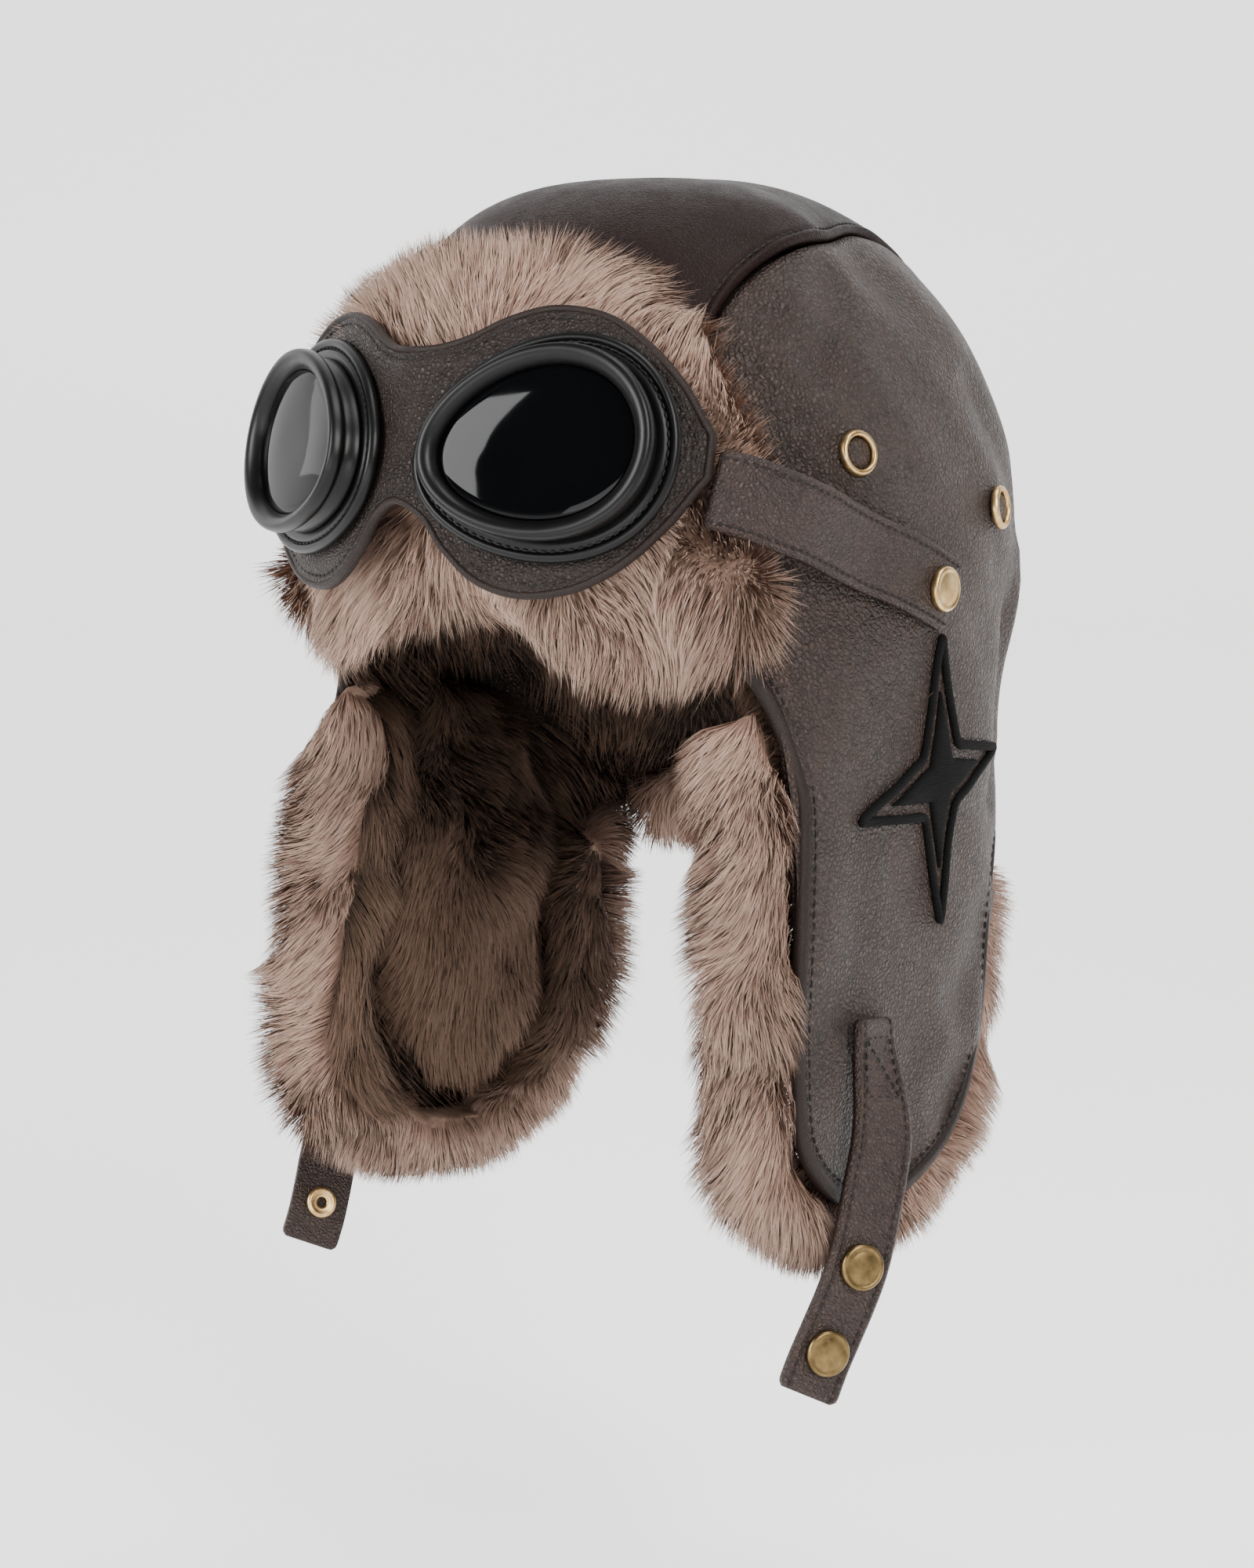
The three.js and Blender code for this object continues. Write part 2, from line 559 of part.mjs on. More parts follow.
// The brow flap: fur turned up over the front of the crown, thin under the goggles, full at its free
// ends, and pressed flat where the goggle strap crosses it.
function browFlap() {
  const columns = 30;
  const rows = [0, 0.12, 0.3, 0.5, 0.7, 0.88, 1];
  const arc = (BROW_FRONT + BROW_HALF_WIDTH) / 2;
  const heightOf = (z) => (z > 0 ? Math.atan2(z, BROW_FRONT) * CROWN_HEIGHT : z);
  const grid = (outside) =>
    Array.from({ length: columns + 1 }, (_, i) => {
      const across = (2 * i) / columns - 1;
      const share = Math.abs(across);
      const azimuth = (across * BROW_FLAP_REACH) / arc;
      const top = eased(BROW_OUTLINE, 'across', 'top', share) * BROW_FLAP_TOP;
      const foot = -eased(BROW_OUTLINE, 'across', 'foot', share);
      const ends = THREE.MathUtils.smoothstep(share, 0.55, 0.85);
      return rows.map((row, j) => {
        const z = THREE.MathUtils.lerp(foot, top, row);
        const round = (1 - Math.abs(2 * row - 1) ** 3) ** 0.6 * (1 - share ** 10) ** 0.5;
        const mask = Math.exp(-(((z - MASK_MIDDLE) / (1.1 * MASK_HALF_HEIGHT)) ** 4)) * (1 - ends);
        const strap = Math.exp(-(((z - strapRise(Math.abs(azimuth))) / (0.95 * GOGGLE_STRAP_WIDTH)) ** 4))
          * THREE.MathUtils.smoothstep(share, 0.45, 0.62);
        const full = THREE.MathUtils.lerp(BROW_PILE, BROW_END_PILE, ends);
        const pile = THREE.MathUtils.lerp(full, BROW_PRESSED, Math.min(mask + strap, 1));
        const locks = j > 0 && j < rows.length - 1 && i > 0 && i < columns ? lockRise(j, i) - LOCK_RISE : 0;
        const lift = SEAM_LAP + 2.6 * GAP + (outside ? 2 + (pile + locks) * round : 0);
        return around(azimuth, heightOf(z), lift).place;
      });
    });
  const fur = solidOf(wall(grid(true), grid(false)));
  const pressed = [LEFT, RIGHT].map((side) => {
    const path = goggleStrapPath(side).map((p) => {
      const place = p.place.clone().addScaledVector(p.out, -GAP);
      return { ...p, place };
    });
    return solidOf(strap(path, GOGGLE_STRAP_WIDTH + 2 * GAP, GOGGLE_STRAP_THICKNESS + 2 * GAP));
  });
  return fur.subtract(pressed[0]).subtract(pressed[1]);
}

// Goggles.

// The mask's plan: two flat eye sides that meet in a rounded bridge and wrap back at their ends.
function maskPlace(across, up, lift = 0) {
  const slope = Math.tan(radians(MASK_WRAP));
  const hook = Math.max(Math.abs(across) / MASK_HALF_WIDTH - 0.8, 0) / 0.2;
  const y = -MASK_FRONT + slope * (Math.hypot(across, BRIDGE_ROUND) - BRIDGE_ROUND) + 7 * hook * hook;
  const lean = Math.tan(radians(MASK_LEAN)) * up;
  const turn = Math.atan(slope * (across / Math.hypot(across, BRIDGE_ROUND)));
  const normal = vec(Math.sin(turn), -Math.cos(turn), Math.sin(radians(MASK_LEAN))).normalize();
  return vec(across, y + lean, MASK_MIDDLE + up).addScaledVector(normal, lift);
}

// Half of the mask's outline: across as a share of its half width, top and foot of its half height.
const MASK_OUTLINE = [
  { across: 0, top: 0.72, foot: -0.38 },
  { across: 0.1, top: 0.73, foot: -0.47 },
  { across: 0.2, top: 0.79, foot: -0.72 },
  { across: 0.34, top: 0.93, foot: -0.96 },
  { across: 0.48, top: 1, foot: -1.04 },
  { across: 0.64, top: 0.95, foot: -1 },
  { across: 0.8, top: 0.74, foot: -0.82 },
  { across: 0.91, top: 0.48, foot: -0.56 },
  { across: 1, top: 0.1, foot: -0.2 },
];

function goggleMask() {
  const columns = 28;
  const edge = (key) =>
    new THREE.SplineCurve(
      [...MASK_OUTLINE.slice(1).reverse().map((row) => new THREE.Vector2(-row.across, row[key])),
        ...MASK_OUTLINE.map((row) => new THREE.Vector2(row.across, row[key]))],
    ).getPoints(columns);
  const [top, foot] = [edge('top'), edge('foot')];
  const grid = (lift) =>
    [top, foot].map((line) =>
      line.map((p) => maskPlace(p.x * MASK_HALF_WIDTH, p.y * MASK_HALF_HEIGHT, lift)),
    );
  const leather = solidOf(wall(grid(0), grid(-MASK_LEATHER)));
  const opening = FLANGE_WIDTH + BARREL_WIDTH;
  const holes = [LEFT, RIGHT].map((side) =>
    solidOf(eyeRing(side, [[opening, -FAR / 8], [opening, FAR / 8]], true)),
  );
  return leather.subtract(holes[0]).subtract(holes[1]);
}

// The egg outline of an eye cup, fuller and higher at its outer end, drawn in by inset.
function eggPoint(turn, inset) {
  const [w, h] = [CUP_HALF_WIDTH - inset, CUP_HALF_HEIGHT - inset];
  const x = Math.cos(turn);
  const y = Math.sin(turn) * (1 + 0.14 * x);
  const tilt = radians(9);
  return [w * x * Math.cos(tilt) - h * y * Math.sin(tilt), w * x * Math.sin(tilt) + h * y * Math.cos(tilt)];
}

// The frame of an eye cup: its middle on the mask, and the ways across, up and out.
function eyeFrame(side) {
  const turn = radians(MASK_WRAP) * side;
  const lean = radians(MASK_LEAN);
  const out = vec(Math.sin(turn) * Math.cos(lean), -Math.cos(turn) * Math.cos(lean), Math.sin(lean));
  const across = vec(Math.cos(turn), Math.sin(turn), 0).multiplyScalar(side);
  const up = new THREE.Vector3().crossVectors(out, across).multiplyScalar(side).negate();
  if (up.z < 0) up.negate();
  return { middle: maskPlace(side * EYE_SPREAD, -EYE_DROP), across, up, out };
}

// A ring round the eye from a profile of [inset, height] pairs; with solid, a plug through its profile.
function eyeRing(side, profile, solid = false) {
  const { middle, across, up, out } = eyeFrame(side);
  const count = 24;
  const point = (turn, [inset, height]) => {
    const [x, y] = eggPoint(turn, inset);
    return middle.clone().addScaledVector(across, x).addScaledVector(up, y).addScaledVector(out, height);
  };
  if (solid) {
    const sections = profile.map((step) =>
      Array.from({ length: count }, (_, k) => point((k / count) * 2 * Math.PI, step)),
    );
    return loft(sections);
  }
  const sections = Array.from({ length: count }, (_, k) =>
    profile.map((step) => point((k / count) * 2 * Math.PI, step)),
  );
  return loft(sections, true);
}

const flangeBase = GAP + 0.6;
const flangeTop = flangeBase + FLANGE_HEIGHT;

function eyeFlange(side) {
  return eyeRing(side, [
    [0, flangeBase],
    [0, flangeBase + 0.6 * FLANGE_HEIGHT],
    [1.2, flangeTop],
    [FLANGE_WIDTH + BARREL_WIDTH, flangeTop],
    [FLANGE_WIDTH + BARREL_WIDTH, flangeBase],
  ]);
}

function eyeBarrel(side) {
  const foot = flangeTop + GAP;
  const rim = foot + BARREL_HEIGHT;
  const inner = FLANGE_WIDTH + BARREL_WIDTH;
  return eyeRing(side, [
    [FLANGE_WIDTH, foot],
    [FLANGE_WIDTH + 1, foot + 0.55 * BARREL_HEIGHT],
    [FLANGE_WIDTH - 1.2, foot + 0.66 * BARREL_HEIGHT],
    [FLANGE_WIDTH - 0.6, rim - 0.6],
    [FLANGE_WIDTH + 0.6, rim],
    [inner - 1.6, rim - 0.8],
    [inner, rim - LENS_DEPTH],
    [inner, foot],
  ]);
}

function eyeLens(side) {
  const inset = FLANGE_WIDTH + BARREL_WIDTH + GAP;
  const top = flangeTop + GAP + BARREL_HEIGHT - LENS_DEPTH;
  const dome = [
    [inset, top - LENS_THICKNESS],
    [inset, top - 0.6],
    [inset + CUP_HALF_HEIGHT / 4, top],
    [inset + (9 * CUP_HALF_HEIGHT) / 16, top + 0.5],
  ];
  return eyeRing(side, dome, true);
}

// Straps, snaps and rings.

// A strap through points with the ways across its width and out of its face.
function strap(path, width, thickness) {
  const grid = (lift) =>
    path.map(({ place, across, out }) =>
      [-width / 2, width / 2].map((aside) =>
        place.clone().addScaledVector(across, aside).addScaledVector(out, lift),
      ),
    );
  return wall(grid(thickness), grid(0));
}

// The goggle strap's course round the helmet, from behind the mask's end to its snap. azimuth is degrees
// from the front; up is a share of the mask's middle; lift is off the leather, in piles of pressed fur.
const STRAP_COURSE = [
  { azimuth: 41.6, up: 0.835, lift: 2.2 },
  { azimuth: 46, up: 0.78, lift: 2.2 },
  { azimuth: 51, up: 0.7, lift: 1.95 },
  { azimuth: 57, up: 0.61, lift: 1.4 },
  { azimuth: 64, up: 0.49, lift: 0.62 },
  { azimuth: 71, up: 0.38, lift: 0.16 },
  { azimuth: 78, up: 0.27, lift: 0.13 },
  { azimuth: 86, up: 0.12, lift: 0.13 },
  { azimuth: 92.5, up: -0.01, lift: 0.13 },
];

const strapRise = (azimuth) =>
  MASK_MIDDLE * eased(STRAP_COURSE, 'azimuth', 'up', THREE.MathUtils.radToDeg(azimuth));

function goggleStrapPath(side) {
  const spots = STRAP_COURSE.map(({ azimuth, up, lift }) =>
    around(side * radians(azimuth), up * MASK_MIDDLE, lift * BROW_PRESSED),
  );
  const line = new THREE.CatmullRomCurve3(spots.map((spot) => spot.place));
  const steps = 14;
  return Array.from({ length: steps + 1 }, (_, i) => {
    const place = line.getPoint(i / steps);
    const run = line.getTangent(i / steps);
    const flat = normalAt(place);
    const out = flat.addScaledVector(run, -flat.dot(run)).normalize();
    return { place, out, across: new THREE.Vector3().crossVectors(out, run).normalize() };
  });
}

function goggleStrap(side) {
  return strap(goggleStrapPath(side), GOGGLE_STRAP_WIDTH, GOGGLE_STRAP_THICKNESS);
}

// A turned body standing on place with its axis along out.
function turned(profile, place, out, segments = 14) {
  const body = new THREE.LatheGeometry(profile.map(([r, h]) => new THREE.Vector2(r, h)), segments);
  body.applyQuaternion(new THREE.Quaternion().setFromUnitVectors(vec(0, 1, 0), out));
  body.translate(place.x, place.y, place.z);
  return geometryOf(solidOf(body));
}

const capProfile = (radius, height) => [
  [0, 0], [radius, 0], [radius, 0.55 * height], [radius - 1.2, 0.92 * height], [0, height],
];

const ringProfile = (radius, hole, height) => [
  [hole, 0], [radius, 0], [radius - 0.4, height], [hole + 0.4, height], [hole, 0],
];

function goggleSnap(side) {
  const { place, out } = goggleStrapPath(side).at(-2);
  const face = place.clone().addScaledVector(out, GOGGLE_STRAP_THICKNESS + GAP);
  return turned(capProfile(SNAP_RADIUS, SNAP_HEIGHT), face, out);
}

// The two brass rings on each side of the crown. back and up are shares of BROW_BACK and CROWN_HEIGHT.
const CROWN_RINGS = [
  { name: 'front', back: -0.3, up: 0.335 },
  { name: 'rear', back: 0.37, up: 0.2 },
];

function crownRing(side, { back, up }) {
  const { place, normal } = sideSkin(side, back * BROW_BACK, up * CROWN_HEIGHT, GAP);
  const inner = SNAP_RADIUS - RING_WALL;
  const rim = inner - 0.4;
  return {
    ring: turned(ringProfile(SNAP_RADIUS, inner, RING_HEIGHT), place, normal),
    disc: turned([[0, 0], [rim, 0], [rim, RING_HEIGHT - 0.8], [0, RING_HEIGHT - 0.8]], place, normal),
  };
}

// A chin strap: sewn to the flap at its top, then hanging free, a little forward, past the fur. Below the
// flap both straps turn their faces the same way.
function chinStrapPath(side) {
  const length = side === LEFT ? CHIN_STRAP_LEFT : CHIN_STRAP_RIGHT;
  const top = { y: -FLAP_LEAD - 0.36 * FLAP_HALF_WIDTH, z: -0.68 * FLAP_DROP };
  const steps = 12;
  const spots = Array.from({ length: steps + 1 }, (_, i) => {
    const share = i / steps;
    const y = top.y - 0.33 * length * share ** 1.5;
    const z = top.z - 0.94 * length * share;
    const onFlap = (along) => sideSkin(side, y + along, Math.max(z, -FLAP_DROP)).place;
    const over = 0.32 * EDGE_DEPTH * THREE.MathUtils.smoothstep(share, 0, 0.36);
    const stand = 2 * GAP + over - 6 * THREE.MathUtils.smoothstep(share, 0.6, 1);
    const flat = onFlap(CHIN_STRAP_WIDTH / 2).sub(onFlap(-CHIN_STRAP_WIDTH / 2)).normalize();
    const turned = vec(Math.sin(radians(28)), Math.cos(radians(28)), -0.32 * share);
    const across = flat.lerp(turned, THREE.MathUtils.smoothstep(share, 0, 0.42));
    return { place: vec(onFlap(0).x + side * stand, y, z), across };
  });
  return spots.map(({ place, across }, i) => {
    const run = spots[Math.min(i + 1, steps)].place.clone().sub(spots[Math.max(i - 1, 0)].place).normalize();
    const square = across.addScaledVector(run, -across.dot(run)).normalize();
    const out = new THREE.Vector3().crossVectors(run, square).multiplyScalar(side);
    return { place, across: square, out };
  });
}

function chinStrap(side) {
  return strap(chinStrapPath(side), CHIN_STRAP_WIDTH, CHIN_STRAP_THICKNESS);
}

// Where a chin strap's upper and lower snaps sit, on its face or on its back.
function chinSpots(side, face) {
  const path = chinStrapPath(side);
  const line = new THREE.CatmullRomCurve3(path.map((p) => p.place));
  return [SNAP_MARGIN + SNAP_SPACING, SNAP_MARGIN].map((fromEnd) => {
    const share = 1 - fromEnd / line.getLength();
    const place = line.getPointAt(share);
    const { out } = path[Math.round(share * (path.length - 1))];
    return face
      ? { place: place.addScaledVector(out, CHIN_STRAP_THICKNESS + 2 * GAP), out }
      : { place: place.addScaledVector(out, -2 * GAP), out: out.clone().negate() };
  });
}

// The embroidered star: a raised border and a filled star inside it.

// The star's outline in the side view, drawn in by a share of its size.
function starOutline(shrink) {
  const [up, rear, front] = [STAR_HALF_HEIGHT, STAR_REAR, STAR_FRONT].map((reach) => reach * (1 - shrink));
  const waist = STAR_WAIST * (1 - shrink) * Math.SQRT1_2;
  const middle = { y: 0.05 * BROW_BACK, z: -0.31 * FLAP_DROP };
  const points = [
    [0, up], [waist, waist], [rear, 0], [waist, -waist],
    [0, -up], [-waist, -waist], [-front, 0], [-waist, waist],
  ];
  return points.map(([y, z]) => [middle.y + y - STAR_LEAN * z, middle.z + z + STAR_SHEAR * y]);
}

// A layer on the leather all round the star.
function starLayer() {
  const margin = 6;
  const outline = starOutline(0);
  const [back, front] = [outline[2][0] + margin, outline[6][0] - margin];
  const [top, foot] = [outline[0][1] + margin, outline[4][1] - margin];
  const grid = (lift) =>
    Array.from({ length: 11 }, (_, i) =>
      Array.from({ length: 9 }, (__, j) => {
        const y = THREE.MathUtils.lerp(front, back, j / 8);
        return sideSkin(LEFT, y, THREE.MathUtils.lerp(foot, top, i / 10), lift).place;
      }),
    );
  return solidOf(wall(grid(1.4 * GAP + STAR_THICKNESS), grid(1.4 * GAP)));
}

function star() {
  const layer = starLayer();
  const prism = (shrink) => sidePrism(starOutline(shrink), 0, FAR);
  return {
    star_border: layer.intersect(prism(0)).subtract(prism(STAR_BORDER)),
    star_fill: layer.intersect(prism(STAR_BORDER + STAR_MARGIN)),
  };
}

// Finishes and assembly.

const finish = (color, roughness, metalness = 0) =>
  new THREE.MeshStandardMaterial({ color, roughness, metalness });
const crownLeather = finish(0x2e2422, 0.45);
const flapLeather = finish(0x443c39, 0.5);
const strapLeather = finish(0x3b3230, 0.5);
const maskLeather = finish(0x383230, 0.5);
const outerFur = finish(0x9f8676, 0.95);
const innerFur = finish(0x5c4a3f, 0.95);
const cupPlastic = finish(0x141414, 0.35);
const lensGlass = finish(0x0b0c0e, 0.05);
const brass = finish(0xa58a52, 0.35, 1);
const thread = finish(0x17181a, 0.9);

const helmet = new THREE.Group();

function place(name, body, material) {
  const mesh = new THREE.Mesh(body.isBufferGeometry ? body : geometryOf(body), material);
  mesh.name = name;
  helmet.add(mesh);
}

const panels = shellPanels();
place('crown_middle_panel', panels.crown_middle_panel, crownLeather);
place('side_panel_left', panels.side_panel_left, flapLeather);
place('side_panel_right', panels.side_panel_right, flapLeather);
place('crown_lining', crownLining(), innerFur);
place('nape_fur_edge', napeFurEdge(), outerFur);
place('brow_flap', browFlap(), outerFur);
place('goggle_mask', goggleMask(), maskLeather);

[['left', LEFT], ['right', RIGHT]].forEach(([word, side]) => {
  place(`ear_lining_${word}`, earLining(side), innerFur);
  place(`ear_fur_edge_${word}`, earFurEdge(side), outerFur);
  place(`eye_flange_${word}`, eyeFlange(side), cupPlastic);
  place(`eye_barrel_${word}`, eyeBarrel(side), cupPlastic);
  place(`eye_lens_${word}`, eyeLens(side), lensGlass);
  place(`goggle_strap_${word}`, goggleStrap(side), strapLeather);
  place(`goggle_snap_${word}`, goggleSnap(side), brass);
  CROWN_RINGS.forEach((spot) => {
    const { ring, disc } = crownRing(side, spot);
    place(`crown_ring_${word}_${spot.name}`, ring, brass);
    place(`crown_disc_${word}_${spot.name}`, disc, flapLeather);
  });
  place(`chin_strap_${word}`, chinStrap(side), strapLeather);
  ['upper', 'lower'].forEach((row, i) => {
    const face = chinSpots(side, true)[i];
    const back = chinSpots(side, false)[i];
    const cap = turned(capProfile(SNAP_RADIUS, SNAP_HEIGHT), face.place, face.out);
    place(`chin_snap_${word}_${row}`, cap, brass);
    const socket = ringProfile(SOCKET_RADIUS, SOCKET_HOLE, SOCKET_HEIGHT);
    place(`chin_socket_${word}_${row}`, turned(socket, back.place, back.out, 10), brass);
  });
});

const embroidery = star();
place('star_border', embroidery.star_border, thread);
place('star_fill', embroidery.star_fill, thread);

export default helmet;
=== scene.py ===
import math
import bmesh
import bpy
import numpy as np
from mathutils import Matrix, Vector
from mathutils.kdtree import KDTree


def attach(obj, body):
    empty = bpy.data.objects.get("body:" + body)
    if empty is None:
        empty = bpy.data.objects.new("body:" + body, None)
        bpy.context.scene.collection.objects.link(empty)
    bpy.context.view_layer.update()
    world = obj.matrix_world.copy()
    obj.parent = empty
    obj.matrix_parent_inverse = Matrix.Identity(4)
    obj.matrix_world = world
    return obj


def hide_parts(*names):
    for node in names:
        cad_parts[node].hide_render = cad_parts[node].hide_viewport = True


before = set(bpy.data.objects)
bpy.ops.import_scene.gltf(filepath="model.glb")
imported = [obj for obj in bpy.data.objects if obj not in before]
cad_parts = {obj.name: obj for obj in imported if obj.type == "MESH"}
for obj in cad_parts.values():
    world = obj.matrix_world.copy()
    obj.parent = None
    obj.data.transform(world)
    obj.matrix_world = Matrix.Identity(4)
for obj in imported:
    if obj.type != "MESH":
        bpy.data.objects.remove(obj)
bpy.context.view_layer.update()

# The studio: a pale floor that sweeps up behind the helmet and glows as painted light, dim in front of it
# and full behind it; soft boxes on both sides and in front, and the camera at the front left, a little above
# the brow. The lamps' and the camera's lengths are in metres; all others are in millimetres, which build()
# turns to metres.
LOOK_AT = Vector((-0.0094, -0.0177, -0.0631))
LOOK_BACK, CAMERA_AWAY = Vector((0.6383, -0.7607, 0.1184)), 0.95
link = bpy.context.scene.collection.objects.link
camera_lens = bpy.data.cameras.new("camera")
camera_lens.lens, camera_lens.sensor_width = 68.4, 36
camera = bpy.data.objects.new("camera", camera_lens)
camera.location = LOOK_AT + LOOK_BACK * CAMERA_AWAY
camera.rotation_mode = "QUATERNION"
camera.rotation_quaternion = (-LOOK_BACK).to_track_quat("-Z", "Y")
link(camera)
bpy.context.scene.camera = camera


def soft_box(name, place, aim, size, watts, colour=(1, 1, 1)):
    lamp = bpy.data.lights.new(name, "AREA")
    lamp.shape, lamp.size, lamp.size_y = "RECTANGLE", *size
    lamp.energy, lamp.color = watts, colour
    holder = bpy.data.objects.new(name, lamp)
    holder.location = place
    holder.rotation_mode = "QUATERNION"
    holder.rotation_quaternion = (Vector(aim) - Vector(place)).to_track_quat("-Z", "Y")
    link(holder)


soft_box("key_box", (-0.46, -1.62, 0.55), (0, 0, 0), (0.7, 0.9), 36)
soft_box("side_box", (1.7, -0.5, 0.9), (0, 0, -0.05), (0.7, 1.1), 40, (1, 0.985, 0.97))
soft_box("top_box", (0.5, 0.2, 1.6), (0, 0, 0), (0.8, 0.8), 14)
soft_box("low_box", (0.7, -1.3, -0.2), (0, 0, -0.1), (0.9, 0.4), 7)
soft_box("far_box", (-1.6, -0.35, 0.5), (0, 0, 0), (0.4, 0.7), 1.6)

world = bpy.data.worlds.new("studio")
world.use_nodes = True
world.node_tree.nodes["Background"].inputs["Color"].default_value = (1, 1, 1, 1)
world.node_tree.nodes["Background"].inputs["Strength"].default_value = 0.22
bpy.context.scene.world = world


class Shade:
    """A socket of a material's nodes, for arithmetic in Python; add() makes any other node."""

    def __init__(self, tree, socket=None):
        self.tree, self.socket = tree, socket

    def add(self, kind, settings=None, inputs=None, out=0):
        node = self.tree.nodes.new("ShaderNode" + kind)
        for key, value in (settings or {}).items():
            if key == "stops":
                while len(node.color_ramp.elements) < len(value):
                    node.color_ramp.elements.new(0.5)
                for element, (at, colour) in zip(node.color_ramp.elements, value):
                    element.position, element.color = at, (*colour, 1)
            else:
                setattr(node, key, value)
        for key, value in (inputs or {}).items():
            if isinstance(value, Shade):
                self.tree.links.new(value.socket, node.inputs[key])
            elif isinstance(value, tuple) and len(value) == 3 and node.inputs[key].type == "RGBA":
                node.inputs[key].default_value = (*value, 1)
            else:
                node.inputs[key].default_value = value
        return Shade(self.tree, node.outputs[out])

    def sum_of(self, operation, a, b):
        return self.add("Math", {"operation": operation}, {0: a, 1: b})

    def __add__(self, other):
        return self.sum_of("ADD", self, other)

    def __rsub__(self, other):
        return self.sum_of("SUBTRACT", other, self)

    def __mul__(self, other):
        return self.sum_of("MULTIPLY", self, other)

    __radd__, __rmul__ = __add__, __mul__

    def place(self):
        return self.add("TexCoord", out="Object")

    def noise(self, size_mm, detail=3.0):
        return self.add("TexNoise", None, {
            "Vector": self.place(), "Scale": 1000 / size_mm, "Detail": detail})

    def between(self, low, high):
        return self.add("MapRange", {"clamp": True}, {0: self, 1: low, 2: high})

    def mix(self, *ends):
        a, b = (colour(end) if isinstance(end, str) else end for end in ends)
        return self.add("Mix", {"data_type": "RGBA"}, {0: self, 6: a, 7: b}, out=2)


def colour(text):
    """Linear colour from the way it looks, as a hex text."""
    parts = [int(text[i : i + 2], 16) / 255 for i in (0, 2, 4)]
    return tuple(p / 12.92 if p < 0.04045 else ((p + 0.055) / 1.055) ** 2.4 for p in parts)


def finish(name, paint, **fixed):
    """A material: fixed values go on the shader's own sockets, and paint returns what varies."""
    made = bpy.data.materials.new(name)
    made.use_nodes = True
    shader = made.node_tree.nodes["Principled BSDF"]
    for key, value in fixed.items():
        socket = shader.inputs[key.replace("_", " ")]
        socket.default_value = (*value, 1) if isinstance(value, tuple) else value
    start = Shade(made.node_tree)
    for key, value in paint(start).items():
        if key == "Height":
            height, depth_mm = value
            value = start.add("Bump", None, {
                "Strength": 1.0, "Distance": depth_mm / 1000, "Height": height})
            key = "Normal"
        made.node_tree.links.new(value.socket, shader.inputs[key])
    return made


finishes = {}  # the material of each slot


def build(name, points, faces, slot=None, material=None, uv=None, outward=True):
    """A mesh from points in millimetres and arrays of faces, riding on the helmet. It has its slot's
    material unless another is given, and stands for the frame's piece of its own name, if there is one."""
    mesh = bpy.data.meshes.new(name)
    points = np.asarray(points, float).reshape(-1, 3)
    mesh.vertices.add(len(points))
    mesh.vertices.foreach_set("co", (points / 1000).astype(np.float32).ravel())
    corners = np.concatenate([np.asarray(f).ravel() for f in faces])
    sizes = np.concatenate([np.full(len(f), np.asarray(f).shape[1]) for f in faces])
    mesh.loops.add(len(corners))
    mesh.loops.foreach_set("vertex_index", corners.astype(np.int32))
    mesh.polygons.add(len(sizes))
    mesh.polygons.foreach_set("loop_start", (np.cumsum(sizes) - sizes).astype(np.int32))
    mesh.update(calc_edges=True)
    if outward:
        work = bmesh.new()
        work.from_mesh(mesh)
        bmesh.ops.remove_doubles(work, verts=work.verts, dist=1e-6)
        bmesh.ops.recalc_face_normals(work, faces=work.faces)
        work.to_mesh(mesh)
        work.free()
    mesh.shade_smooth()
    mesh.materials.append(material or finishes[slot])
    if uv is not None:
        layer = mesh.uv_layers.new(name="OFBake")
        layer.data.foreach_set("uv", np.asarray(uv, np.float32)[corners].ravel())
    piece = bpy.data.objects.new(name, mesh)
    link(piece)
    if slot:
        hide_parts(*([name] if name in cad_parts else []))
        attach(piece, "root")
    return piece


def grid_faces(rows, columns, wrap=False, start=0):
    i, j = np.meshgrid(
        np.arange(rows - 1), np.arange(columns if wrap else columns - 1), indexing="ij")
    a = start + i * columns + j
    b = start + i * columns + (j + 1) % columns
    return np.stack([a, b, b + columns, a + columns], -1).reshape(-1, 4)


def end_caps(rows, columns):
    """The first and the last ring of a wrapped grid, as one face each."""
    ring = np.arange(columns)
    return [ring[None, ::-1], ring[None] + columns * (rows - 1)]


# Painted light: the floor glows, dimly in front of the helmet and fully behind it, so that the backdrop is
# white.
def floor_paint(s):
    behind = s.add("VectorMath", {"operation": "DOT_PRODUCT"}, {
        0: s.place(), 1: (-LOOK_BACK.x, -LOOK_BACK.y, 0.0)}, out="Value")
    glow = behind.between(-0.35, 0.05).mix((0.1, 0.1, 0.1), (1.0, 1.0, 1.0))
    return {"Base Color": s.noise(400).mix("f4f4f4", "fbfbfb"), "Emission Color": glow}


FLOOR_SWEEP = [  # away behind the helmet, up
    (-4000, -330), (900, -330), (1300, -290), (1700, -130), (1900, 200), (1950, 4000),
]
FLOOR_HALF_WIDTH = 5000
ahead_x, ahead_y = np.array([LOOK_BACK.x, LOOK_BACK.y]) / math.hypot(LOOK_BACK.x, LOOK_BACK.y)
floor_points = [
    [(-ahead_x * away - ahead_y * wide, -ahead_y * away + ahead_x * wide, up)
     for wide in (-FLOOR_HALF_WIDTH, 0, FLOOR_HALF_WIDTH)]
    for away, up in FLOOR_SWEEP
]
floor_finish = finish("pale_floor", floor_paint, Roughness=0.9, Emission_Strength=0.93)
floor = build("floor", floor_points, [grid_faces(len(FLOOR_SWEEP), 3)], material=floor_finish)

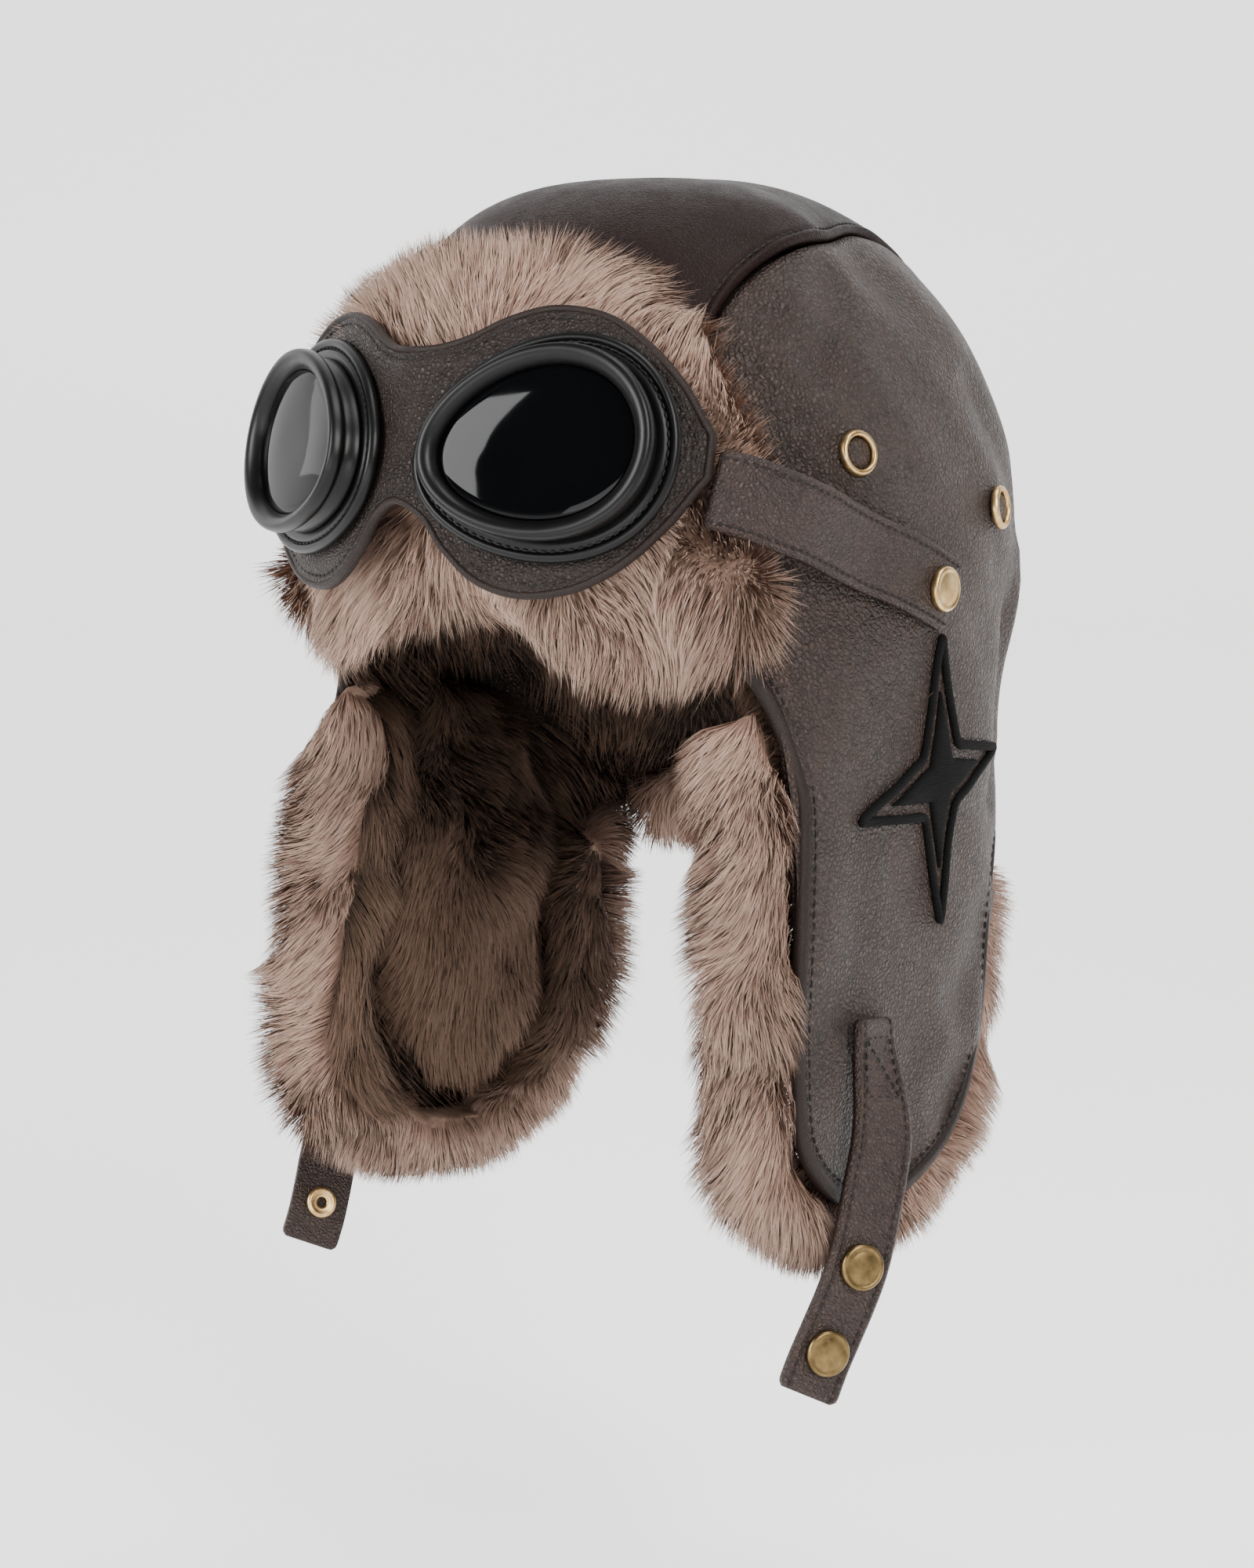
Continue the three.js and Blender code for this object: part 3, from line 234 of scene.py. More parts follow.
# The leather shell: the crown and ear flaps of a soft, dark brown pebbled leather, 2 mm thick, sewn from
# a middle strip and two side panels. Its shape is a rounded box in plan that rises to a full dome and
# drops to a skirt; the rows of SKIRT are its widths and fullness down to the flaps' lower edge.
BROW_HALF_WIDTH, BROW_FRONT, BROW_BACK = 96, 105, 111
CROWN_HEIGHT, CROWN_LEAD, CROWN_SLUMP, CROWN_RISE = 126, 8, 0.035, 2.45
FLAP_DROP, FLAP_HALF_WIDTH, FLAP_LEAD, NAPE_DROP = 181, 56, 13, 74
LEATHER, SEAM_LAP, SEAM_SHIFT = 2.0, 1.2, 3
LEFT, RIGHT = 1, -1
SIDES = {"left": LEFT, "right": RIGHT}
FLAP_REAR = {LEFT: 1.05, RIGHT: 0.8}
FLAP_SPLAY, SPLAY_FROM, SPLAY_POWER = {LEFT: 0.17, RIGHT: 0.27}, 0.3, 1.4
SKIRT = {
    "down": (0, 0.18, 0.38, 0.7, 1.15),
    "wide": (1, 0.995, 0.98, 0.965, 0.96),
    "front": (1, 1, 1.02, 1.06, 1.08),
    "back": (1, 0.93, 0.87, 0.84, 0.84),
    "power": (2.3, 2.5, 3, 3.8, 4),
}
SEAM_ALONG = (-1.3, -0.6, -0.1, 0.2, 0.5, 0.8, 1.3)
SEAM_HALF = (0.6, 0.62, 0.6, 0.5, 0.47, 0.49, 0.5)
SEAM_TURN = 0.82  # share of a seam that crosses the crown; the rest runs down to the nape
FLAP_EDGE = [
    (-1.22, 0.05), (-1, 0.14), (-0.9, 0.3), (-0.94, 0.5), (-1, 0.72), (-0.92, 0.88), (-0.5, 0.985),
    (0, 1), (0.58, 0.91), (0.98, 0.72), (1.1, 0.52),
]
NAPE_EDGE = [(0.56, 1.1), (0.8, 1), (1.3, 1)]
DENTS = [  # side, back, up, reach, depth
    (0.66, 0.08, 0.74, 15, 3), (0.58, -0.25, 0.84, 20, -2.5), (0.5, 0.5, 0.68, 18, 2.5),
    (0.9, 0.35, -0.1, 26, 2), (0.78, 0.62, -0.3, 20, 3),
]


def xyz(x, y, z):
    return np.stack(np.broadcast_arrays(x, y, z), -1)


def bell(away, width):
    return np.exp(-((away / width) ** 2))


def unit(v, least=1e-9):
    return v / (np.linalg.norm(v, axis=-1, keepdims=True) + least)


def closed(loop):
    return np.concatenate([loop, loop[:1]])


def lengths_along(path):
    return np.concatenate([[0], np.cumsum(np.linalg.norm(np.diff(path, axis=0), axis=1))])


def read_at(at, steps, table):
    return np.stack([np.interp(at, steps, table[:, k]) for k in range(table.shape[1])], -1)


def spaced(points, count):
    steps = lengths_along(points)
    return read_at(np.linspace(0, steps[-1], count), steps, points)


def curve_through(points, count):
    """Evenly spaced points on a smooth curve through the given ones."""
    p = np.array(points, float)
    p = np.vstack([2 * p[0] - p[1], p, 2 * p[-1] - p[-2]])
    dense = []
    for a, b, c, d in zip(p, p[1:], p[2:], p[3:]):
        spans = [max(np.linalg.norm(v - u), 1e-6) ** 0.5 for u, v in ((a, b), (b, c), (c, d))]
        k = np.cumsum([0] + spans)
        t = np.linspace(k[1], k[2], 24, endpoint=False)[:, None]
        ab = a + (b - a) * (t - k[0]) / (k[1] - k[0])
        bc = b + (c - b) * (t - k[1]) / (k[2] - k[1])
        cd = c + (d - c) * (t - k[2]) / (k[3] - k[2])
        abc = ab + (bc - ab) * (t - k[0]) / (k[2] - k[0])
        bcd = bc + (cd - bc) * (t - k[1]) / (k[3] - k[1])
        dense.append(abc + (bcd - abc) * (t - k[1]) / (k[2] - k[1]))
    return spaced(np.vstack([*dense, p[-2:-1]]), count)


def fullness(p):
    """Below 1 inside the helmet's outer surface, above 1 outside it."""
    x, y, z = p[..., 0], p[..., 1], p[..., 2]
    up = np.maximum(z, 0) / (CROWN_HEIGHT * (1 - CROWN_SLUMP * x / BROW_HALF_WIDTH))
    down = np.maximum(-z, 0) / FLAP_DROP
    share = {key: np.interp(down, SKIRT["down"], SKIRT[key]) for key in ("wide", "front", "back", "power")}
    middle = -CROWN_LEAD * up * up
    ahead = y < middle
    length = np.where(ahead, BROW_FRONT * share["front"], BROW_BACK * share["back"])
    splay = np.where(x > 0, FLAP_SPLAY[LEFT], FLAP_SPLAY[RIGHT]) * np.minimum(down / SPLAY_FROM, 1)
    width = BROW_HALF_WIDTH * (share["wide"] + splay * (np.maximum(-y, 0) / BROW_FRONT) ** SPLAY_POWER)
    power = np.where(ahead, share["power"], SKIRT["power"][0])
    plan = (np.abs(x / width) ** power + np.abs((y - middle) / length) ** power) ** (1 / power)
    return (plan**CROWN_RISE + up**CROWN_RISE) ** (1 / CROWN_RISE)


def outward_at(p):
    step = 0.5 * np.eye(3)
    slope = np.stack([fullness(p + step[k]) - fullness(p - step[k]) for k in range(3)], -1)
    return unit(slope, 0)


def lifted(p, lift):
    return p + outward_at(p) * np.asarray(lift)[..., None]


def dent_at(p):
    folded = xyz(np.abs(p[..., 0]), p[..., 1], p[..., 2])
    total = 0
    for side, back_share, up, reach, depth in DENTS:
        middle = np.array([side * BROW_HALF_WIDTH, back_share * BROW_BACK, up * CROWN_HEIGHT])
        total = total + depth * np.exp(-(((folded - middle) / reach) ** 2).sum(-1))
    return total


def leather_at(start, way, lift=0.0):
    """Where rays from inside leave the leather, lifted off it; the leather is within 400 mm of them."""
    start, way = np.broadcast_arrays(np.asarray(start, float), np.asarray(way, float))
    low, high = np.zeros(way.shape[:-1]), np.full(way.shape[:-1], 400.0)
    for _ in range(24):
        middle = (low + high) / 2
        inside = fullness(start + way * middle[..., None]) < 1
        low, high = np.where(inside, middle, low), np.where(inside, high, middle)
    p = start + way * low[..., None]
    return lifted(p, lift - dent_at(p))


def around(turn, height, lift=0.0):
    """The leather at a turn from the front to the left; height runs along the crown, or straight down."""
    turn, height = np.broadcast_arrays(np.asarray(turn, float), np.asarray(height, float))
    rise = np.clip(height / CROWN_HEIGHT, 0, math.pi / 2)
    way = xyz(np.sin(turn) * np.cos(rise), -np.cos(turn) * np.cos(rise), np.sin(rise))
    return leather_at(xyz(0, 0, np.minimum(height, 0)), way, lift)


def beside(side, y, z, lift=0.0):
    """The leather in the side view at y, z."""
    return leather_at(xyz(0, y, z), np.array([side, 0, 0]), lift)


def turn_height(p):
    height = np.arctan2(p[..., 2], np.hypot(p[..., 0], p[..., 1])) * CROWN_HEIGHT
    return np.arctan2(p[..., 0], -p[..., 1]), np.where(p[..., 2] > 0, height, p[..., 2])


seam_line = curve_through([(a * BROW_BACK, h * BROW_HALF_WIDTH) for a, h in zip(SEAM_ALONG, SEAM_HALF)], 80)


def over_crown(across, share, lift=0.0):
    """The middle panel at shares of its width and of its length from brow to nape."""
    across, share = np.broadcast_arrays(np.asarray(across, float), np.asarray(share, float))
    turn = np.minimum(share / SEAM_TURN, 1) * math.pi
    way = xyz(0, -np.cos(turn), np.sin(turn))
    low = -np.maximum(share - SEAM_TURN, 0) / (1 - SEAM_TURN) * NAPE_DROP
    y = -np.cos(turn) * BROW_BACK
    for _ in range(4):
        start = xyz(np.interp(y, *seam_line.T) * across + SEAM_SHIFT, 0, low)
        y = leather_at(start, way)[..., 1]
    return leather_at(start, way, lift)


def hem_curve(side, count=420):
    """The leather's lower edge in the side view, as y and z."""
    flap = [
        (-FLAP_LEAD + along * (FLAP_REAR[side] if along > 0 else 1) * FLAP_HALF_WIDTH, -down * FLAP_DROP)
        for along, down in FLAP_EDGE
    ]
    nape = [(along * BROW_BACK, -down * NAPE_DROP) for along, down in NAPE_EDGE]
    return curve_through([(-1.5 * BROW_FRONT, 0), (-BROW_FRONT, 0), *flap, *nape], count)


def hem_on(side, count):
    line, ends = hem_curve(side), over_crown(side, np.array([0.0, 1.0]))
    kept = line[(line[:, 0] > ends[0, 1]) & (line[:, 0] < ends[1, 1])]
    return spaced(np.vstack([ends[:1], beside(side, kept[:, 0], kept[:, 1]), ends[1:]]), count)


FOLDS = {  # soft folds of each side: y, z at both ends, width, depth
    LEFT: [
        (62, -8, 50, -66, 6, 2.2), (74, 10, 66, -50, 5, -1.8), (30, -118, 18, -168, 9, 1.3),
        (-34, -70, -40, -120, 10, 1.5), (0, -150, 30, -135, 8, -1.2), (40, 62, 66, 30, 8, 2.0),
        (-38, 70, -20, 92, 7, 2.0), (52, -100, 36, -140, 7, -1.6),
    ],
    RIGHT: [(60, -8, 56, -60, 7, 1.4), (30, -110, 14, -160, 9, 1.2), (-30, 70, 10, 84, 8, 1.2)],
}


def soft_lift(p, side):
    """The low relief of soft leather: slow swells and a few folds."""
    y, z = p[..., 1], p[..., 2]
    swell = 0.5 * np.sin(0.061 * y + 0.043 * z + side) + 0.35 * np.sin(0.11 * z - 0.07 * y + 2 * side)
    swell = swell + 0.25 * np.sin(0.19 * y + 0.16 * z + 1.3)
    for ya, za, yb, zb, width, depth in FOLDS[side]:
        run = np.array([yb - ya, zb - za], float)
        share = np.clip(((y - ya) * run[0] + (z - za) * run[1]) / (run @ run), 0, 1)
        away = np.hypot(y - ya - share * run[0], z - za - share * run[1])
        swell = swell - depth * bell(away, width)
    return swell


def slab(outer, inner):
    """Points and faces of a closed sheet between two grids."""
    rows, columns = outer.shape[:2]
    size = rows * columns
    index = np.arange(size).reshape(rows, columns)
    loop = np.concatenate([index[:, 0], index[-1, 1:], index[-2::-1, -1], index[0, -2:0:-1]])
    after = np.roll(loop, -1)
    faces = [
        grid_faces(rows, columns), grid_faces(rows, columns, start=size)[:, ::-1],
        np.stack([after, loop, loop + size, after + size], -1),
    ]
    return np.concatenate([outer.reshape(-1, 3), inner.reshape(-1, 3)]), faces


def leather(name, dark, light, grain_mm, depth_mm, shine, specular):
    """A leather of small pebbles inside larger creased cells, lighter where it is worn, with painted shade in
    the grooves between the pebbles and along the creases.
    """

    def paint(s):
        wander = s.add("TexNoise", None, {"Vector": s.place(), "Scale": 400.0}, out="Color")
        drift = s.add("VectorMath", {"operation": "SCALE"}, {0: wander, "Scale": 0.0012})
        at = s.add("VectorMath", {"operation": "ADD"}, {0: s.place(), 1: drift})
        pebble, crease = (
            s.add("TexVoronoi", {"feature": "DISTANCE_TO_EDGE"}, {"Vector": at, "Scale": 1000 / cell_mm})
            .between(0.0, edge) for cell_mm, edge in ((grain_mm, 0.3), (3.6 * grain_mm, 0.1))
        )
        patch = s.noise(26).between(0.35, 0.7)
        worn = s.noise(7, detail=5.0).between(0.3, 0.75)
        # Painted shade: the pebble and crease terms darken the grooves that the bump sinks; patch and worn are
        # the leather's own tone and wear.
        tone = patch * 0.2 + worn * 0.25 + pebble * 0.4 + crease * 0.15
        return {
            "Base Color": tone.mix(dark, light),
            "Roughness": shine + 0.12 * worn + 0.12 * (1 - pebble),
            "Height": (pebble * 0.5 + crease * 0.45 * patch + s.noise(0.5) * 0.2, depth_mm),
        }

    return finish(name, paint, Specular_IOR_Level=specular)


finishes["flap_leather"] = leather("pebbled_leather", "0d0705", "42332c", 1.6, 0.8, 0.34, 0.3)
finishes["crown_leather"] = leather("crown_leather", "0e0605", "221310", 1.0, 0.18, 0.36, 0.12)

# The side panels run from the seams to the lower edge. Each sinks a little into its seam, swells beside
# it, and lies flatter again at its lower edge.
PANEL_ROWS, PANEL_COLUMNS = 121, 61
SEAM_TUCK = 1.012  # a panel starts just under the middle strip's edge
shares = np.linspace(0, 1, PANEL_ROWS)
ease = np.sin(np.linspace(-math.pi / 2, math.pi / 2, PANEL_COLUMNS)) / 2 + 0.5
rows_in = 0.35 * ease + 0.65 * np.linspace(0, 1, PANEL_COLUMNS)
side_hem, side_inside = {}, {}
for word, side in SIDES.items():
    side_hem[side] = hem_on(side, PANEL_ROWS)
    turn_a, height_a = turn_height(over_crown(side * SEAM_TUCK, shares))
    turn_b, height_b = turn_height(side_hem[side])
    turn = turn_a[:, None] + (turn_b - turn_a)[:, None] * rows_in
    height = height_a[:, None] + (height_b - height_a)[:, None] * rows_in
    skin = around(turn, height)
    away = np.linalg.norm(np.diff(skin, axis=1), axis=-1).cumsum(1)
    away = np.concatenate([np.zeros((PANEL_ROWS, 1)), away], 1)
    lift = soft_lift(skin, side) * np.clip(away / 6, 0, 1) - 0.9 * bell(away, 2.2) + 0.5 * bell(away - 5, 3)
    lift = lift * np.clip((away[:, -1:] - away) / 9, 0.15, 1)
    side_inside[side] = lifted(skin, lift - LEATHER)
    build(f"side_panel_{word}", *slab(lifted(skin, lift), side_inside[side]), "flap_leather")

# The middle strip, of a smoother, darker hide. Its edges are turned under and lie on the side panels,
# so that each seam is a raised ridge with a row of topstitching just inside it.
STITCH_IN, STRIP_LONG, PUCKER_LONG = 2.6, 330, 17
strip_across = np.concatenate([
    np.linspace(-1, -0.9, 14), np.linspace(-0.88, 0.88, 42), np.linspace(0.9, 1, 14)
])
strip_share = np.linspace(0, 1, 130)
skin = over_crown(strip_across[None, :], strip_share[:, None])
half = np.interp(skin[..., 1], *seam_line.T)
in_by = (1 - np.abs(strip_across))[None, :] * half
ridge = SEAM_LAP - 0.9 * bell(in_by, 0.5) + 0.55 * bell(in_by - 1.2, 0.8) - 0.45 * bell(in_by - STITCH_IN, 0.55)
pucker = 0.3 * np.sin(strip_share * STRIP_LONG * 2 * math.pi / PUCKER_LONG)[:, None] * bell(in_by - 5, 4)
flat_edge = np.clip(in_by / 10, 0, 1)
slow = 0.7 * np.sin(skin[..., 1] * 0.045 + skin[..., 0] * 0.05) * flat_edge
slow = slow + 0.4 * np.sin(skin[..., 1] * 0.12 - skin[..., 0] * 0.04) * flat_edge
strip_top, strip_inside = lifted(skin, ridge + pucker + slow), lifted(skin, -LEATHER + 0 * ridge)
build("crown_middle_panel", *slab(strip_top, strip_inside), "crown_leather")

# Topstitching: waxed dark thread, a stitch about every 3 mm, sunk a little at both ends. The rows are
# gathered here and built as one piece at the end.
finishes["thread"] = finish(
    "waxed_thread", lambda s: {"Base Color": s.noise(2).mix("060403", "140d0b")},
    Roughness=0.8)
STITCH_RINGS = ((-0.5, 0.35, -0.35), (-0.28, 0.95, 0.2), (0.28, 0.95, 0.2), (0.5, 0.35, -0.35))
STITCH_SIDES = 6
FINE_THREAD = {"pitch": 2.9, "long": 2.0, "thick": 0.75}
stitch_rows = []


def stitches(path, outward, pitch=3.3, long=2.3, thick=0.8):
    """Adds one row of stitches along a path in millimetres; outward is the way off the face."""
    path = np.asarray(path, float)
    steps = lengths_along(path)
    count = int(steps[-1] / pitch)
    if count < 1:
        return
    at = (np.arange(count) + 0.5) * steps[-1] / count
    middle, up = read_at(at, steps, path), read_at(at, steps, np.broadcast_to(outward, path.shape))
    run = read_at(np.minimum(at + 0.5, steps[-1]), steps, path) - read_at(np.maximum(at - 0.5, 0), steps, path)
    run = unit(run, 0)
    up = up - run * (up * run).sum(1, keepdims=True)
    up = unit(up, 0)
    cross = np.cross(run, up)
    rings = []
    for along, size, rise in STITCH_RINGS:
        for k in range(STITCH_SIDES):
            a = k * math.pi / 3
            rings.append(
                middle + run * along * long + up * (rise + 0.5 * size * math.sin(a)) * thick
                + cross * 0.5 * size * math.cos(a) * thick
            )
    stitch_rows.append(np.stack(rings, 1))


for side in SIDES.values():
    seam_half = np.interp(over_crown(side, strip_share)[:, 1], *seam_line.T)
    line = over_crown(side * (1 - STITCH_IN / seam_half), strip_share, SEAM_LAP - 0.3)
    stitches(line, outward_at(line))

# The lower edge of the leather is bound with a narrow rolled strip, which laps both faces and is
# stitched through on its inner side.
BINDING_WIDE, BINDING_THICK, BINDING_PAST = 4.6, 2.2, 1.2
binding_leather = leather("binding_leather", "1a1311", "29201c", 0.9, 0.12, 0.40, 0.2)


def tube(centre, across, up, wide, thick, sides=10, power=1.0):
    """A closed tube along centre; across and up are its two half axes' ways."""
    a = np.arange(sides) * 2 * math.pi / sides
    cx = np.sign(np.cos(a)) * np.abs(np.cos(a)) ** power
    cy = np.sign(np.sin(a)) * np.abs(np.sin(a)) ** power
    rings = centre[:, None] + across[:, None] * (cx[None, :, None] * wide / 2)
    rings = rings + up[:, None] * (cy[None, :, None] * thick / 2)
    return rings, [grid_faces(len(centre), sides, wrap=True), *end_caps(len(centre), sides)]


def past_edge(path):
    """The ways along the leather that point past its lower edge, downward at the middle of the path."""
    run = np.gradient(path, axis=0)
    run = unit(run, 0)
    past = np.cross(outward_at(path), run)
    past = unit(past, 0)
    return past if past[len(path) // 2, 2] < 0 else -past


for word, side in SIDES.items():
    path = spaced(side_hem[side], 260)
    normal, past = outward_at(path), past_edge(path)
    centre = path + normal * (-LEATHER / 2 + 0.1) - past * (BINDING_WIDE / 2 - BINDING_PAST)
    points, faces = tube(centre, past, normal, BINDING_WIDE, LEATHER + BINDING_THICK, power=0.7)
    build(f"edge_binding_{word}", points, faces, "flap_leather", binding_leather)
    stitches(path + normal * 0.45 - past * (BINDING_WIDE + 0.1), normal)

# Fur: deep artificial fur in taupe, growing out of a dark backing. Its strands run from darker roots to
# lighter tips, partly their own colour and partly painted light: the bright tips stand in for light through
# them and the dark roots for shade deep in the pile. Each piece has a backing with the shape of its own solid,
# and strands on it drawn together into locks.
fur_noise = np.random.default_rng(7)


def fur(name, root, middle, tip, rough, specular):
    def paint(s):
        along = s.add("Attribute", {"attribute_name": "along"}, out="Fac")
        tone = s.add("Attribute", {"attribute_name": "tone"}, out="Fac")
        # Painted light along each strand: the lighter tips stand in for light passing through them and the
        # darker roots for shade in the pile; in part both are the fur's own colour.
        stops = [(0.0, colour(root)), (0.55, colour(middle)), (1.0, colour(tip))]
        ramp = s.add("ValToRGB", {"stops": stops}, {0: along})
        lock = tone.mix((0.62, 0.6, 0.58), (1.08, 1.07, 1.06))
        settings = {"data_type": "RGBA", "blend_type": "MULTIPLY"}
        return {"Base Color": s.add("Mix", settings, {0: 1.0, 6: ramp, 7: lock}, out=2)}

    return finish(name, paint, Roughness=rough, Specular_IOR_Level=specular)


def backing(name, dark, light):
    def paint(s):
        lock = s.noise(6, detail=4.0)
        return {"Base Color": lock.between(0.35, 0.65).mix(dark, light), "Height": (lock, 1.5)}

    return finish(name, paint, Roughness=0.9)


finishes["outer_fur"] = fur("outer_fur", "70564a", "a58574", "d0b4a4", 0.6, 0.25)
finishes["inner_fur"] = fur("inner_fur", "241a14", "5f4a3c", "866c5c", 0.65, 0.2)
backings = {
    "outer_fur": backing("outer_fur_backing", "6a5142", "8f7362"),
    "inner_fur": backing("inner_fur_backing", "150f0c", "33271f"),
}


def fur_body(node, shrink, slot):
    """The backing of a fur piece, from its own solid rounded and drawn in by shrink; returns its
    vertices, their normals and its triangles."""
    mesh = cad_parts[node].data.copy()
    piece = bpy.data.objects.new(node + "_backing", mesh)
    link(piece)
    work = bmesh.new()
    work.from_mesh(mesh)
    bmesh.ops.remove_doubles(work, verts=work.verts, dist=1e-5)
    work.to_mesh(mesh)
    work.free()
    rounding = piece.modifiers.new("rounding", "SUBSURF")
    rounding.levels = rounding.render_levels = 1
    evaluated = piece.evaluated_get(bpy.context.evaluated_depsgraph_get())
    final = bpy.data.meshes.new_from_object(evaluated)
    piece.modifiers.clear()
    final.materials.clear()
    piece.data = final
    final.materials.append(backings[slot])
    final.shade_smooth()
    place = np.zeros(len(final.vertices) * 3, np.float32)
    normal = np.zeros_like(place)
    final.vertices.foreach_get("co", place)
    final.vertices.foreach_get("normal", normal)
    place, normal = place.reshape(-1, 3) * 1000.0, normal.reshape(-1, 3)
    place = place - normal * shrink
    final.vertices.foreach_set("co", (place / 1000).astype(np.float32).ravel())
    final.update()
    final.calc_loop_triangles()
    corners = np.zeros(len(final.loop_triangles) * 3, np.int32)
    final.loop_triangles.foreach_get("vertices", corners)
    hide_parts(node)
    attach(piece, "root")
    return place, normal, corners.reshape(-1, 3)


def scatter(place, normal, corners, count, weigh):
    """Roots spread over a backing, thinner where weigh() is small."""
    a, b, c = (place[corners[:, k]] for k in range(3))
    size = np.linalg.norm(np.cross(b - a, c - a), axis=1)
    middle, facing = (a + b + c) / 3, normal[corners].mean(1)
    weight = size * weigh(middle, unit(facing, 0))
    pick = fur_noise.choice(len(size), count, p=weight / weight.sum())
    u, v = fur_noise.random((2, count, 1))
    u, v = np.where(u + v > 1, 1 - u, u), np.where(u + v > 1, 1 - v, v)
    root = a[pick] + u * (b - a)[pick] + v * (c - a)[pick]
    na, nb, nc = (normal[corners[pick, k]] for k in range(3))
    n = na * (1 - u - v) + nb * u + nc * v
    return root, unit(n, 0)


def slow_noise(p, size, seed):
    """Smooth noise of three values, from sums of waves about size across."""
    waves = np.random.default_rng(seed)
    total = np.zeros((len(p), 3))
    for _ in range(7):
        way = waves.normal(size=(3, 3)) / size * 1.6
        total += np.sin(p @ way + waves.random(3) * 6.28)
    return total / 2.6


def nearest(line, places):
    return np.array([int(np.argmin(((line - p) ** 2).sum(1))) for p in places])


PER_LOCK, LOCK_PULL, DROOP, BEND = 24, 0.3, 0.1, 0.55  # BEND: where along a strand its middle pair sits


def strands(name, root, normal, way, long, wide, slot, lock=5.0, pale=0.0):
    """Tapered ribbons from each root along way, drawn together into locks of about that size."""
    count = len(root)
    seeds = np.linspace(0, count - 1, max(int(count / PER_LOCK), 2)).astype(int)
    tree = KDTree(len(seeds))
    for k, s in enumerate(seeds):
        tree.insert(Vector(root[s]), k)
    tree.balance()
    own = np.array([tree.find(Vector(r))[1] for r in root])
    tip = root + way * long[:, None]
    lock_tip = tip[seeds[own]] + (root - root[seeds[own]]) * 0.25
    close = np.clip(1 - np.linalg.norm(root - root[seeds[own]], axis=1) / (3.5 * lock), 0, 1)
    tip = tip + (lock_tip - tip) * (LOCK_PULL * close * fur_noise.uniform(0.1, 1, count))[:, None]
    tip[:, 2] -= DROOP * long
    lean = (root + tip) / 2 + normal * (0.13 * long)[:, None]
    curl = fur_noise.normal(size=(count, 3)) * (0.07 * long)[:, None]
    run = tip - root
    run = unit(run, 0)
    flat = np.cross(run, normal + 0.55 * fur_noise.normal(size=(count, 3)))
    flat = unit(flat)
    parts = []
    for t, w in ((0.0, 1.0), (BEND, 0.9)):
        centre = root * (1 - t) ** 2 + 2 * (lean + curl) * t * (1 - t) + tip * t * t
        parts += [centre - flat * (w * wide / 2), centre + flat * (w * wide / 2)]
    points = np.stack([*parts, tip], 1)
    corners = points.shape[1]
    first = np.arange(count)[:, None] * corners
    faces = [first + np.array([0, 1, 3, 2]), first + np.array([2, 3, 4])]
    tone = fur_noise.beta(2.2, 2.0, count) * 0.7 + 0.3 * (0.5 + 0.25 * slow_noise(root, 22, 31)[:, 0])
    # pale shifts the strands' tone; the brow flap uses it for painted shade at its parting.
    tone = np.repeat(np.clip(tone + pale, 0, 1), corners)
    along = np.tile(np.array([0, 0, BEND, BEND, 1.0]), count)
    uv = np.stack([tone * 0.98 + 0.01, along * 0.98 + 0.01], 1)
    piece = build(name, points, faces, slot, uv=uv, outward=False)
    for key, values in (("along", along), ("tone", tone)):
        piece.data.attributes.new(key, "FLOAT", "POINT").data.foreach_set("value", values.astype(np.float32))
    blend_normal = normal + 0.35 * (way - normal)
    blend_normal = unit(blend_normal, 0)
    piece.data.normals_split_custom_set_from_vertices(np.repeat(blend_normal, corners, axis=0).tolist())


def inside_hem(side, p):
    """True where a place is above the leather's lower edge in the side view."""
    line = hem_curve(side, 160)
    y, z = p[:, 1][:, None], p[:, 2][:, None]
    ya, za, yb, zb = line[:-1, 0], line[:-1, 1], line[1:, 0], line[1:, 1]
    crossing = ((ya > y) != (yb > y)) & (z < za + (zb - za) * (y - ya) / (yb - ya + 1e-9))
    return crossing.sum(1) % 2 == 0


